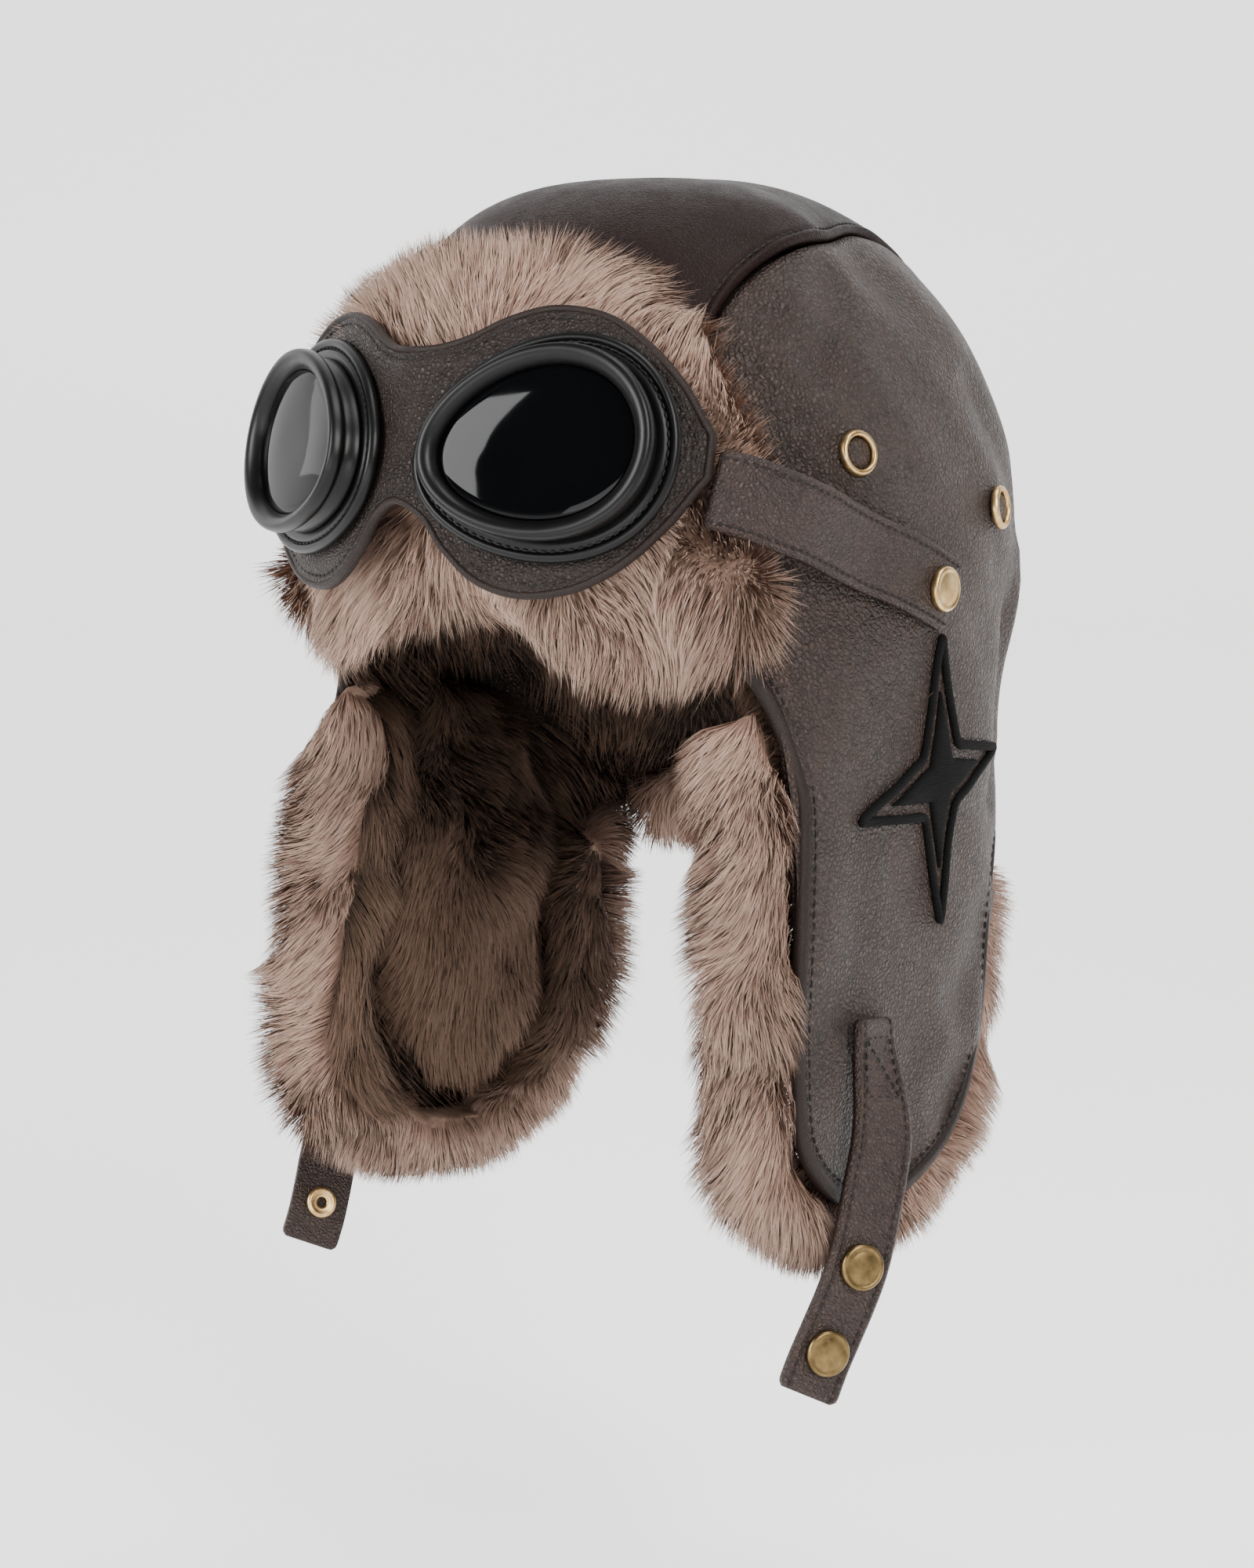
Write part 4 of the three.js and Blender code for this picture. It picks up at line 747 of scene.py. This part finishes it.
# The rolls of fur along the ear flaps, sewn inside the leather's edge and standing out past it. Strands
# that would pass through the leather are left out, and near the edge the face toward the head has the lining's
# darker fur, as painted shade.
ROLL_STRANDS = {"left": 52000, "right": 46000}
ROLL_SHRINK, BROW_SHRINK, NAPE_SHRINK, LINING_SHRINK = 3.5, 3.0, 2.5, 1.5
SHADED_PAST = 8  # up to here past the leather's edge a roll's inner face has the lining's dark fur, as painted shade
for word, side in SIDES.items():
    node = f"ear_fur_edge_{word}"
    body = fur_body(node, ROLL_SHRINK, "outer_fur")
    hem = hem_on(side, 200)
    hem_past = past_edge(hem)

    def free(p, facing):
        return np.where(inside_hem(side, p) & (facing[:, 0] * side > 0.15), 0.0, 1.0)

    root, facing = scatter(*body, ROLL_STRANDS[word], free)
    near = nearest(hem, root)
    flow = slow_noise(root, 16, 3)
    lowest = np.clip((-hem_past[near][:, 2] - 0.55) / 0.3, 0, 1)
    way = unit(facing * 0.6 + hem_past[near] * 0.6 + xyz(0, 0, -0.5 * (1 - lowest)) + flow * 0.34)
    long = fur_noise.uniform(9, 18, len(root)) * (1 - 0.35 * lowest)
    tip = root + way * long[:, None]
    skin = beside(side, tip[:, 1], tip[:, 2])
    kept = ~(inside_hem(side, tip) & (tip[:, 0] * side > skin[:, 0] * side - LEATHER - 1.5))
    root, facing, way, long, near, flow, lowest = (
        table[kept] for table in (root, facing, way, long, near, flow, lowest))
    past = ((root - hem[near]) * hem_past[near]).sum(1)
    # Painted shade: strands on the roll's inner face near the leather's edge get the lining's dark fur.
    deep = (past < SHADED_PAST - 12 * lowest) & (facing[:, 0] * side < 0.3)
    way[deep] = unit(facing * 0.45 + np.array([0, 0, -0.8]) - hem_past[near] * 0.25 + flow * 0.3)[deep]
    for part, chosen in (("", ~deep), ("_inner", deep)):
        strands(
            f"{node}{part}_strands", root[chosen], facing[chosen], way[chosen], long[chosen], 0.25,
            "inner_fur" if part else "outer_fur",
        )

# The brow flap: the front edge of the hat turned up, all fur, thin under the goggles and full at its
# free ends, where the fur parts and stands away on all sides.
LOBE_OUT, LOBE_FRONT, LOBE_UP, LOBE_REACH, LOBE_PARTING = 84, 74, 6, 34, 9
BRIDGE_SHARE, BRIDGE_UP = 0.45, 38  # the fur between the lobes parts from this line
body = fur_body("brow_flap", BROW_SHRINK, "outer_fur")


def brow_free(p, facing):
    reach = np.linalg.norm(leather_at(np.zeros_like(p), unit(p)), axis=1)
    behind = (np.linalg.norm(p, axis=1) < reach + 2.5) & ((facing * unit(p)).sum(1) < 0)
    under_mask = (np.abs(p[:, 0]) < 62) & (p[:, 2] > 22) & (p[:, 2] < 66)
    return np.where(behind, 0.0, np.where(under_mask, 0.12, 1.0))


root, facing = scatter(*body, 57000, brow_free)
lobe = xyz(np.sign(root[:, 0]) * LOBE_OUT, -LOBE_FRONT, LOBE_UP)
lobe_away = ((root - lobe) ** 2).sum(1)
near_lobe = np.exp(-(lobe_away / LOBE_REACH**2))[:, None]
bridge = xyz(root[:, 0] * BRIDGE_SHARE, root[:, 1], BRIDGE_UP)
away = unit(root - lobe) * near_lobe + unit(root - bridge) * (1 - near_lobe)
away = away - facing * (away * facing).sum(1, keepdims=True)
way = unit(facing * 0.62 + away * 0.75 + np.array([0.0, 0, -0.06]) + slow_noise(root, 15, 5) * 0.33)
long = fur_noise.uniform(9, 17, len(root))
long *= np.where((np.abs(root[:, 0]) > 68) & (root[:, 2] > 8), 0.62, 1.0)
# Painted shade: the strands are darker where the fur parts at each lobe.
parting_shade = -0.3 * np.exp(-(lobe_away / LOBE_PARTING**2))
strands("brow_flap_strands", root, facing, way, long, 0.25, "outer_fur", pale=parting_shade)

# The nape's roll of fur, and the linings: shorter, denser and darker fur inside the crown and the flaps.
# The lining's fur hangs down, and in the flaps it also spreads from their middle.
body = fur_body("nape_fur_edge", NAPE_SHRINK, "outer_fur")


def nape_free(p, facing):
    hidden = (p[:, 2] > -NAPE_DROP) & ((facing * unit(p * np.array([1, 1, 0]))).sum(1) > 0.15)
    return np.where(hidden, 0.0, 1.0)


root, facing = scatter(*body, 13000, nape_free)
way = unit(facing * 0.75 + np.array([0, 0, -0.7]) + slow_noise(root, 14, 9) * 0.3)
long = fur_noise.uniform(9, 15, len(root))
strands("nape_fur_edge_strands", root, facing, way, long, 0.36, "outer_fur")


def lining_free(p, facing):
    kept = np.where((facing * unit(p * np.array([1, 1, 0.6]))).sum(1) < 0.1, 1.0, 0.0)
    return kept * np.where(p[:, 2] > 12, 0.06, 1.0)


LINING_STRANDS = {"crown_lining": 14000, "ear_lining_left": 7000, "ear_lining_right": 28000}
for node, count in LINING_STRANDS.items():
    root, facing = scatter(*fur_body(node, LINING_SHRINK, "inner_fur"), count, lining_free)
    spread = unit(root - root.mean(0)) * 0.45 if node != "crown_lining" else 0.0
    way = unit(facing * 0.5 + np.array([0, -0.1, -0.75]) + spread + slow_noise(root, 14, 11) * 0.3)
    long = fur_noise.uniform(9, 16, len(root))
    strands(f"{node}_strands", root, facing, way, long, 0.3, "inner_fur", lock=4)

# The same dark pile grows on the inside of the flaps' leather, where the lining and the roll meet. It
# leans over the roll and is shorter near the leather's edge.
PILE_STRANDS = {"left": 4000, "right": 8000}
PILE_FROM, PILE_TO, PILE_EDGE = 1.5, 44, 8  # from the leather's edge
for word, side in SIDES.items():
    inside = side_inside[side]
    place = inside.reshape(-1, 3)
    squares = grid_faces(*inside.shape[:2])
    corners = np.concatenate([squares[:, [0, 1, 2]], squares[:, [0, 2, 3]]])
    hem = hem_on(side, 200)

    def meeting(p, facing):
        away = np.array([np.sqrt(((hem - q) ** 2).sum(1).min()) for q in p])
        grown = (p[:, 2] < -0.1 * FLAP_DROP) & (away > PILE_FROM) & (away < PILE_TO)
        return np.where(grown, np.where(away < 9, 3.0, 1.0), 0.0)

    root, facing = scatter(place, -outward_at(place), corners, PILE_STRANDS[word], meeting)
    rim = root - hem[nearest(hem, root)]
    edge_share = np.exp(-((rim**2).sum(1)) / PILE_EDGE**2)
    over_roll = -unit(rim) * edge_share[:, None]
    way = unit(facing * 0.9 + over_roll * 0.6 + np.array([0, 0, -0.35]) + slow_noise(root, 14, 13) * 0.2)
    long = fur_noise.uniform(14, 23, len(root)) * (1 - 0.55 * edge_share)
    strands(f"flap_pile_{word}", root, facing, way, long, 0.4, "inner_fur", lock=4)

# The goggle mask: stitched leather in one piece with a padded edge, wrapped round the brow. Its two ends
# hook back toward the straps, and a rolled edge runs all round it.
MASK_LEATHER, MASK_HALF_WIDTH, MASK_HALF_HEIGHT = 3, 83, 39.5
MASK_FRONT, MASK_MIDDLE, MASK_LEAN, MASK_WRAP = 129.5, 44, math.radians(11), math.radians(22)
BRIDGE_ROUND, HOOK_SHARE, HOOK_BACK, EYE_SPREAD, MASK_STITCH_IN = 6, 0.2, 7, 43, 3.2
MASK_OUTLINE = [  # across, top, foot
    (0, 0.72, -0.38), (0.1, 0.73, -0.47), (0.2, 0.79, -0.72), (0.34, 0.93, -0.96), (0.48, 1, -1.04),
    (0.64, 0.95, -1), (0.8, 0.74, -0.82), (0.91, 0.48, -0.56), (1, 0.1, -0.2),
]
MASK_COLUMNS, MASK_ROWS = 115, 47


def on_mask(across, up, lift=0.0):
    """Places on the mask's face and the ways off it."""
    across, up = np.broadcast_arrays(np.asarray(across, float), np.asarray(up, float))
    slope = math.tan(MASK_WRAP)
    hook = np.maximum(np.abs(across) / MASK_HALF_WIDTH - (1 - HOOK_SHARE), 0) / HOOK_SHARE
    y = -MASK_FRONT + slope * (np.hypot(across, BRIDGE_ROUND) - BRIDGE_ROUND) + HOOK_BACK * hook * hook
    turn = np.arctan(slope * across / np.hypot(across, BRIDGE_ROUND))
    normal = unit(xyz(np.sin(turn), -np.cos(turn), np.sin(MASK_LEAN)))
    p = xyz(across, y + math.tan(MASK_LEAN) * up, MASK_MIDDLE + up)
    return p + normal * np.asarray(lift)[..., None], normal


finishes["mask_leather"] = leather("mask_leather", "0f0a08", "2e2420", 1.3, 0.5, 0.36, 0.24)
mask_size = np.array([MASK_HALF_WIDTH, MASK_HALF_HEIGHT])
whole_outline = np.array([(-a, t, f) for a, t, f in MASK_OUTLINE[:0:-1]] + MASK_OUTLINE)
top_line, foot_line = (curve_through(whole_outline[:, [0, k]], MASK_COLUMNS) for k in (1, 2))
rows = np.linspace(0, 1, MASK_ROWS)
flat = top_line[:, None] * (1 - rows[None, :, None]) + foot_line[:, None] * rows[None, :, None]
flat = flat * mask_size
rim = spaced(closed(np.concatenate([top_line, foot_line[::-1]]) * mask_size), 420)[:-1]
rim_away = np.sqrt((((flat.reshape(-1, 1, 2) - rim[None]) ** 2).sum(-1)).min(1)).reshape(flat.shape[:2])
swell = -1.3 * bell(rim_away, 1.1) - 0.45 * bell(rim_away - MASK_STITCH_IN, 0.7) + 0.5 * bell(rim_away - 7, 4)
swell = swell + 0.25 * np.sin(flat[..., 0] * 0.21) * np.sin(flat[..., 1] * 0.3)
mask_face, _ = on_mask(flat[..., 0], flat[..., 1], swell * 0.8)
mask_back, _ = on_mask(flat[..., 0], flat[..., 1], -MASK_LEATHER + 0 * swell)
build("goggle_mask", *slab(mask_face, mask_back), "mask_leather")

rim_run = unit(np.roll(rim, -3, 0) - np.roll(rim, 3, 0))
rim_in = np.stack([-rim_run[:, 1], rim_run[:, 0]], 1)
eye_middle = np.stack([np.sign(rim[:, 0]) * EYE_SPREAD, 0 * rim[:, 0]], 1)
rim_in = rim_in * np.where(((eye_middle - rim) * rim_in).sum(1, keepdims=True) < 0, -1, 1)
row_line, row_normal = on_mask(*(rim + rim_in * MASK_STITCH_IN).T, -0.2)
stitches(closed(row_line), closed(row_normal), **FINE_THREAD)
edge_line, edge_normal = (closed(table) for table in on_mask(*rim.T, -MASK_LEATHER / 2))
edge_out = unit(closed(on_mask(*(rim - rim_in).T, -MASK_LEATHER / 2)[0]) - edge_line)
points, faces = tube(
    edge_line - edge_out * 0.6, edge_out, edge_normal, 2.4, MASK_LEATHER + 0.4, sides=8, power=0.7)
build("goggle_mask_edge", points, faces[:1], "mask_leather", binding_leather)

# The eye cups: satin black moulded rings with an egg outline, a stitched groove round the flange, a
# stepped barrel and a smoked, glossy lens a little below the barrel's rim.
CUP_HALF_WIDTH, CUP_HALF_HEIGHT, FLANGE_HEIGHT, BARREL_HEIGHT = 39.5, 32, 3.2, 9.5
LENS_THICKNESS, LENS_DEPTH, OPENING, GAP = 2.4, 3.5, 10.6, 0.5
EYE_DROP, EYE_TILT, EYE_EGG = 1, math.radians(9), 0.14
finishes["cup_plastic"] = finish("satin_plastic", lambda s: {
    "Base Color": s.noise(20).mix("040404", "090909"),
    "Roughness": 0.30 + 0.12 * s.noise(6), "Height": (s.noise(0.3), 0.02)}, Specular_IOR_Level=0.26)
finishes["lens_black"] = finish("smoked_lens", lambda s: {
    "Base Color": s.noise(30).mix("020203", "040506"),
    "Roughness": 0.03 + 0.03 * s.noise(12)}, Specular_IOR_Level=0.13)


def eye_point(side, turn, inset, height):
    """A place on an eye cup at a turn round its egg outline, drawn in by inset and raised by height."""
    turn, inset, height = np.broadcast_arrays(*(np.asarray(v, float) for v in (turn, inset, height)))
    x = np.cos(turn)
    y = np.sin(turn) * (1 + EYE_EGG * x)
    w, h = CUP_HALF_WIDTH - inset, CUP_HALF_HEIGHT - inset
    flat_x = w * x * math.cos(EYE_TILT) - h * y * math.sin(EYE_TILT)
    flat_y = w * x * math.sin(EYE_TILT) + h * y * math.cos(EYE_TILT)
    a = MASK_WRAP * side
    out = np.array([math.sin(a) * math.cos(MASK_LEAN), -math.cos(a) * math.cos(MASK_LEAN), math.sin(MASK_LEAN)])
    across = np.array([math.cos(a), math.sin(a), 0]) * side
    up = np.cross(out, across)
    up = up if up[2] > 0 else -up
    middle = on_mask(side * EYE_SPREAD, -EYE_DROP)[0]
    return middle + flat_x[..., None] * across + flat_y[..., None] * up + height[..., None] * out


flange_base = GAP + 0.6
flange_top = flange_base + FLANGE_HEIGHT
foot = flange_top + 0.2
rim = foot + BARREL_HEIGHT + 0.3
lens_top = flange_top + GAP + BARREL_HEIGHT - LENS_DEPTH
FLANGE_PROFILE = [  # inset, height
    (0.3, flange_base), (0, flange_base + 0.5), (0, flange_base + 1.6), (0.4, flange_top - 0.5),
    (1.2, flange_top), (2.2, flange_top), (2.6, flange_top - 0.6), (3.4, flange_top - 0.7),
    (3.8, flange_top - 0.1), (5, flange_top), (OPENING, flange_top), (OPENING, flange_base),
]
BARREL_PROFILE = [
    (6, foot), (6.15, foot + 1.5), (6.9, foot + 3.4), (7, foot + 4.9), (6.3, foot + 5.4), (5.1, foot + 5.9),
    (4.8, foot + 6.6), (5.0, rim - 1.4), (5.4, rim - 0.5), (6.4, rim), (7.6, rim - 0.1), (8.8, rim - 0.7),
    (9.9, rim - 2.0), (OPENING, rim - LENS_DEPTH), (OPENING, foot),
]
LENS_DOME = np.array([  # in from the lens's edge, over its edge
    (0, -LENS_THICKNESS), (0, -0.4), (0.6, 0), (3, 0.35), (6, 0.75), (9, 1.05), (12, 1.25), (15, 1.4),
    (18, 1.48), (20.5, 1.5),
])
cup_turn = np.linspace(0, 2 * math.pi, 121)[:-1]
columns = len(cup_turn)
barrel_loop = curve_through(BARREL_PROFILE + BARREL_PROFILE[:1], 3 * len(BARREL_PROFILE) + 1)[:-1]
for word, side in SIDES.items():
    for name, loop in (("eye_flange", np.array(FLANGE_PROFILE)), ("eye_barrel", barrel_loop)):
        rings = closed(eye_point(side, cup_turn[None, :], loop[:, :1], loop[:, 1:]))
        build(f"{name}_{word}", rings, [grid_faces(len(rings), columns, wrap=True)], "cup_plastic")
    rings = eye_point(side, cup_turn[None, :], OPENING + LENS_DOME[:, :1], LENS_DOME[:, 1:] + lens_top)
    faces = [grid_faces(len(rings), columns, wrap=True), *end_caps(len(rings), columns)]
    build(f"eye_lens_{word}", rings, faces, "lens_black")
    groove = eye_point(side, np.append(cup_turn, 2 * math.pi), 3.0, flange_top - 0.55)
    lift_way = eye_point(side, 0.0, 0.0, 1.0) - eye_point(side, 0.0, 0.0, 0.0)
    stitches(groove, lift_way, pitch=2.7, long=1.9, thick=0.7)

# Straps: doubled leather, stitched near both edges. Each goggle strap runs from behind the mask to a
# brass snap on the side of the crown, pressing the brow flap's fur down on its way.
GOGGLE_STRAP_WIDTH, CHIN_STRAP_WIDTH, STRAP_THICK, BROW_PRESSED = 23, 19.5, 3, 7.5
STRAP_CORNER, STRAP_STITCH_IN = 3.0, 2.4
STRAP_COURSE = [  # degrees from the front, share of the mask's middle, lift in piles of pressed fur
    (41.6, 0.835, 2.2), (46, 0.78, 2.2), (51, 0.7, 1.95), (57, 0.61, 1.4), (64, 0.49, 0.62),
    (71, 0.38, 0.16), (78, 0.27, 0.13), (86, 0.12, 0.13), (92.5, -0.01, 0.13),
]
SNAP_AT = 83  # of the 90 places along a goggle strap
finishes["strap_leather"] = leather("strap_leather", "120a07", "40302a", 1.3, 0.5, 0.36, 0.32)


def strap_piece(name, centre, across, out, width):
    """A strap with rounded edges and end corners and a stitch line along both edges."""
    u = np.concatenate([np.linspace(-1, -0.8, 8), np.linspace(-0.74, 0.74, 15), np.linspace(0.8, 1, 8)])
    length = lengths_along(centre)
    to_end = np.minimum(length, length[-1] - length)
    cut = 1 - np.sqrt(np.clip(1 - (1 - to_end / STRAP_CORNER) ** 2, 0, 1))
    shrink = np.where(to_end < STRAP_CORNER, 1 - cut * 2.4 / width * 1.2, 1)
    edge = (1 - np.abs(u)) * width / 2
    profile = STRAP_THICK - 0.9 * bell(edge, 0.6) - 0.35 * bell(edge - STRAP_STITCH_IN, 0.5) + 0.15
    lift = np.broadcast_to(profile, (len(centre), len(u))) - 0.7 * bell(to_end, 0.8)[:, None]
    base = centre[:, None] + across[:, None] * (u[None, :, None] * width / 2 * shrink[:, None, None])
    face = base + out[:, None] * lift[..., None]
    back = base + out[:, None] * (0.25 * bell(edge, 0.6))[None, :, None]
    build(name, *slab(face, back), "strap_leather")
    for s in (-1, 1):
        row = centre + across * (s * (width / 2 - STRAP_STITCH_IN)) + out * (STRAP_THICK - 0.2)
        stitches(row, out, **FINE_THREAD)


def brass(name, dark, light):
    return finish(name, lambda s: {
        "Base Color": s.noise(3.5, detail=4.0).between(0.3, 0.7).mix(dark, light),
        "Roughness": 0.24 + 0.2 * s.noise(1.2, detail=4.0), "Height": (s.noise(0.25), 0.03)}, Metallic=1.0)


finishes["bright_brass"] = brass("bright_brass", "b8925a", "e6c894")
finishes["old_brass"] = brass("old_brass", "5c4b30", "8f7850")


def turned(name, profile, place, out, slot, count=48):
    """A round piece from a profile of radius and height, standing on place along out."""
    out = unit(np.asarray(out, float))
    side_way = unit(np.cross(out, [0.3, 0.2, 1.0]))
    other = np.cross(out, side_way)
    a = np.linspace(0, 2 * math.pi, count + 1)[:-1]
    circle = np.cos(a)[:, None] * side_way + np.sin(a)[:, None] * other
    rings = np.array([place + circle * r + out * h for r, h in profile])
    faces = [grid_faces(len(profile), count, wrap=True)]
    if profile[0] != profile[-1]:
        faces += end_caps(len(profile), count)
    build(name, rings, faces, slot)


CAP = [
    (6.5, -0.1), (6.8, 0.3), (6.8, 1.4), (6.6, 1.9), (6.1, 2.25), (5.6, 2.2), (5.3, 2.05), (4.4, 2.25),
    (3, 2.45), (1.4, 2.55), (0.2, 2.58),
]
for word, side in SIDES.items():
    centre = curve_through([
        around(side * math.radians(a), u * MASK_MIDDLE, f * BROW_PRESSED) for a, u, f in STRAP_COURSE], 90)
    run, out = unit(np.gradient(centre, axis=0)), outward_at(centre)
    out = unit(out - run * (out * run).sum(1, keepdims=True))
    strap_piece(f"goggle_strap_{word}", centre, np.cross(out, run), out, GOGGLE_STRAP_WIDTH)
    seat = centre[SNAP_AT] + out[SNAP_AT] * (STRAP_THICK + 0.2)
    turned(f"goggle_snap_{word}", CAP, seat, out[SNAP_AT], "bright_brass")

# The crown's rings: brass eyelets with a disc of the panel's leather in the middle, two on each side of
# the crown, above the goggle strap and behind its snap.
RING = [
    (4.8, 0), (6.6, 0), (6.8, 0.5), (6.75, 1.3), (6.4, 2.0), (5.9, 2.35), (5.4, 2.3), (5.0, 1.9), (4.8, 1.2),
    (4.8, 0),
]
DISC = [(4.4, 0.0), (4.4, 1.0), (4.0, 1.35), (2.5, 1.5), (0.2, 1.55)]
for word, side in SIDES.items():
    for end, back_share, up in (("front", -0.3, 0.335), ("rear", 0.37, 0.2)):
        seat = beside(side, back_share * BROW_BACK, up * CROWN_HEIGHT)
        normal = outward_at(seat)
        turned(f"crown_ring_{word}_{end}", RING, seat + normal * 0.4, normal, "bright_brass")
        turned(f"crown_disc_{word}_{end}", DISC, seat + normal * 0.4, normal, "flap_leather")

# The chin straps: each is sewn to its flap with a crossed square, turns as it leaves the flap and hangs
# free below it. It has two snaps, an aged brass cap on the face and a socket on the back of each.
CHIN_STRAP_LONG, EDGE_DEPTH = {LEFT: 111, RIGHT: 103}, 27
CHIN_AHEAD, CHIN_LOW = 0.36, 0.68  # where it is sewn, in shares of the flap's half width and drop
CHIN_SWING, CHIN_HANG = 0.33, 0.94  # how far it runs forward and down, in shares of its length
CHIN_STAND, CHIN_TUCK, CHIN_TURN, CHIN_TWIST = 0.32, 6, math.radians(28), 0.32
SEWN_HALF_WIDTH, SEWN_SQUARE = 6.4, ((5, -1), (5, 1), (21, 1), (21, -1))
SOCKET = [
    (1.7, 0), (5.0, 0), (5.2, 0.3), (5.1, 0.9), (4.6, 1.5), (3.8, 1.5), (3.2, 1.1), (2.4, 1.2), (1.9, 1.1),
    (1.7, 0.6), (1.7, 0),
]
share = np.linspace(0, 1, 13)


def eased(a, b):
    t = np.clip((share - a) / (b - a), 0, 1)
    return t * t * (3 - 2 * t)


for word, side in SIDES.items():
    length = CHIN_STRAP_LONG[side]
    y = -FLAP_LEAD - CHIN_AHEAD * FLAP_HALF_WIDTH - CHIN_SWING * length * share**1.5
    z = -CHIN_LOW * FLAP_DROP - CHIN_HANG * length * share
    low = np.maximum(z, -FLAP_DROP)
    stand = 2 * GAP + CHIN_STAND * EDGE_DEPTH * eased(0, 0.36) - CHIN_TUCK * eased(0.6, 1)
    flat_way = unit(beside(side, y + CHIN_STRAP_WIDTH / 2, low) - beside(side, y - CHIN_STRAP_WIDTH / 2, low))
    turned_way = xyz(math.sin(CHIN_TURN), math.cos(CHIN_TURN), -CHIN_TWIST * share)
    across = flat_way + (turned_way - flat_way) * eased(0, 0.42)[:, None]
    fine = curve_through(xyz(beside(side, y, low)[:, 0] + side * stand, y, z), 100)
    across = unit(read_at(np.linspace(0, 1, 100), share, across))
    run = unit(np.gradient(fine, axis=0))
    across = unit(across - run * (across * run).sum(1, keepdims=True))
    out = np.cross(run, across) * side
    strap_piece(f"chin_strap_{word}", fine, across, out, CHIN_STRAP_WIDTH)
    square = [
        fine[k] + across[k] * s * SEWN_HALF_WIDTH + out[k] * (STRAP_THICK - 0.1) for k, s in SEWN_SQUARE]
    for a, b in ((0, 1), (1, 2), (2, 3), (3, 0), (0, 2), (1, 3)):
        stitches(np.linspace(square[a], square[b], 12), out[12], **FINE_THREAD)
    steps = lengths_along(fine)
    for end, from_end in (("upper", 40), ("lower", 14)):
        k = int(np.argmin(np.abs(steps - (steps[-1] - from_end))))
        turned(f"chin_snap_{word}_{end}", CAP, fine[k] + out[k] * (STRAP_THICK + 0.3), out[k], "old_brass")
        turned(f"chin_socket_{word}_{end}", SOCKET, fine[k] - out[k] * 0.4, -out[k], "bright_brass")

# The star on the left flap: satin-stitched embroidery, a raised black border and a filled star in it
# that rises in steps from its sides to its middle.
STAR_UP, STAR_FRONT, STAR_REAR, STAR_WAIST, STAR_SHEAR, STAR_LEAN = 47, 47, 39, 13, 0.19, 0.06
STAR_BACK, STAR_LOW = 0.05, 0.31  # its middle, in shares of the brow's back and the flap's drop
BORDER_WIDE, BORDER_THICK, BORDER_IN, BORDER_LIFT = 2.9, 2.2, 0.055, 0.7
STAR_FILL = [  # share drawn in, lift
    (0.42, 0.1), (0.425, 0.8), (0.45, 1.3), (0.5, 1.6), (0.6, 1.75), (0.75, 1.8), (0.9, 1.8), (0.97, 1.8),
]


def satin_paint(s):
    wave = s.add("TexWave", {"bands_direction": "Z"}, {
        "Vector": s.place(), "Scale": 500.0, "Distortion": 2.0, "Detail": 2.0})
    return {"Base Color": s.noise(1.5).mix("020202", "090909"), "Height": (wave, 0.15)}


def star_ring(shrink, lift, per_edge=10):
    k, w = 1 - shrink, STAR_WAIST * math.sqrt(0.5)
    flat = [(0, STAR_UP), (w, w), (STAR_REAR, 0), (w, -w), (0, -STAR_UP), (-w, -w), (-STAR_FRONT, 0), (-w, w)]
    corner = np.array([
        (STAR_BACK * BROW_BACK + k * a - STAR_LEAN * k * b, -STAR_LOW * FLAP_DROP + k * b + STAR_SHEAR * k * a)
        for a, b in flat
    ])
    steps = np.linspace(0, 1, per_edge, endpoint=False)[:, None]
    loop = np.concatenate([a + (b - a) * steps for a, b in zip(corner, np.roll(corner, -1, 0))])
    p = beside(LEFT, loop[:, 0], loop[:, 1])
    return lifted(p, lift + soft_lift(p, LEFT))


star_thread = finish("satin_thread", satin_paint, Roughness=0.85, Specular_IOR_Level=0.15)
loop = star_ring(BORDER_IN, BORDER_LIFT, per_edge=40)
for _ in range(6):
    loop = (np.roll(loop, 1, 0) + loop * 2 + np.roll(loop, -1, 0)) / 4
run = unit(np.roll(loop, -1, 0) - np.roll(loop, 1, 0))
loop, normal, run = (closed(table) for table in (loop, outward_at(loop), run))
points, faces = tube(loop, np.cross(normal, run), normal, BORDER_WIDE, BORDER_THICK, power=0.8)
build("star_border", points, faces[:1], "thread", star_thread)
fill = np.array([star_ring(shrink, lift) for shrink, lift in STAR_FILL])
rows, columns = fill.shape[:2]
faces = [grid_faces(rows, columns, wrap=True), end_caps(rows, columns)[1]]
build("star_fill", fill, faces, "thread", star_thread)

# All the stitches of the leather and the goggles are one piece of thread. Each stitch is a short closed
# run of rings, and their faces are the same but for where they start.
all_stitches = np.concatenate(stitch_rows)
stitch_faces = grid_faces(len(STITCH_RINGS), STITCH_SIDES, wrap=True)[:, None]
starts = np.arange(len(all_stitches))[None, :, None] * all_stitches.shape[1]
build("stitching", all_stitches, [(starts + stitch_faces).reshape(-1, 4)], "thread")
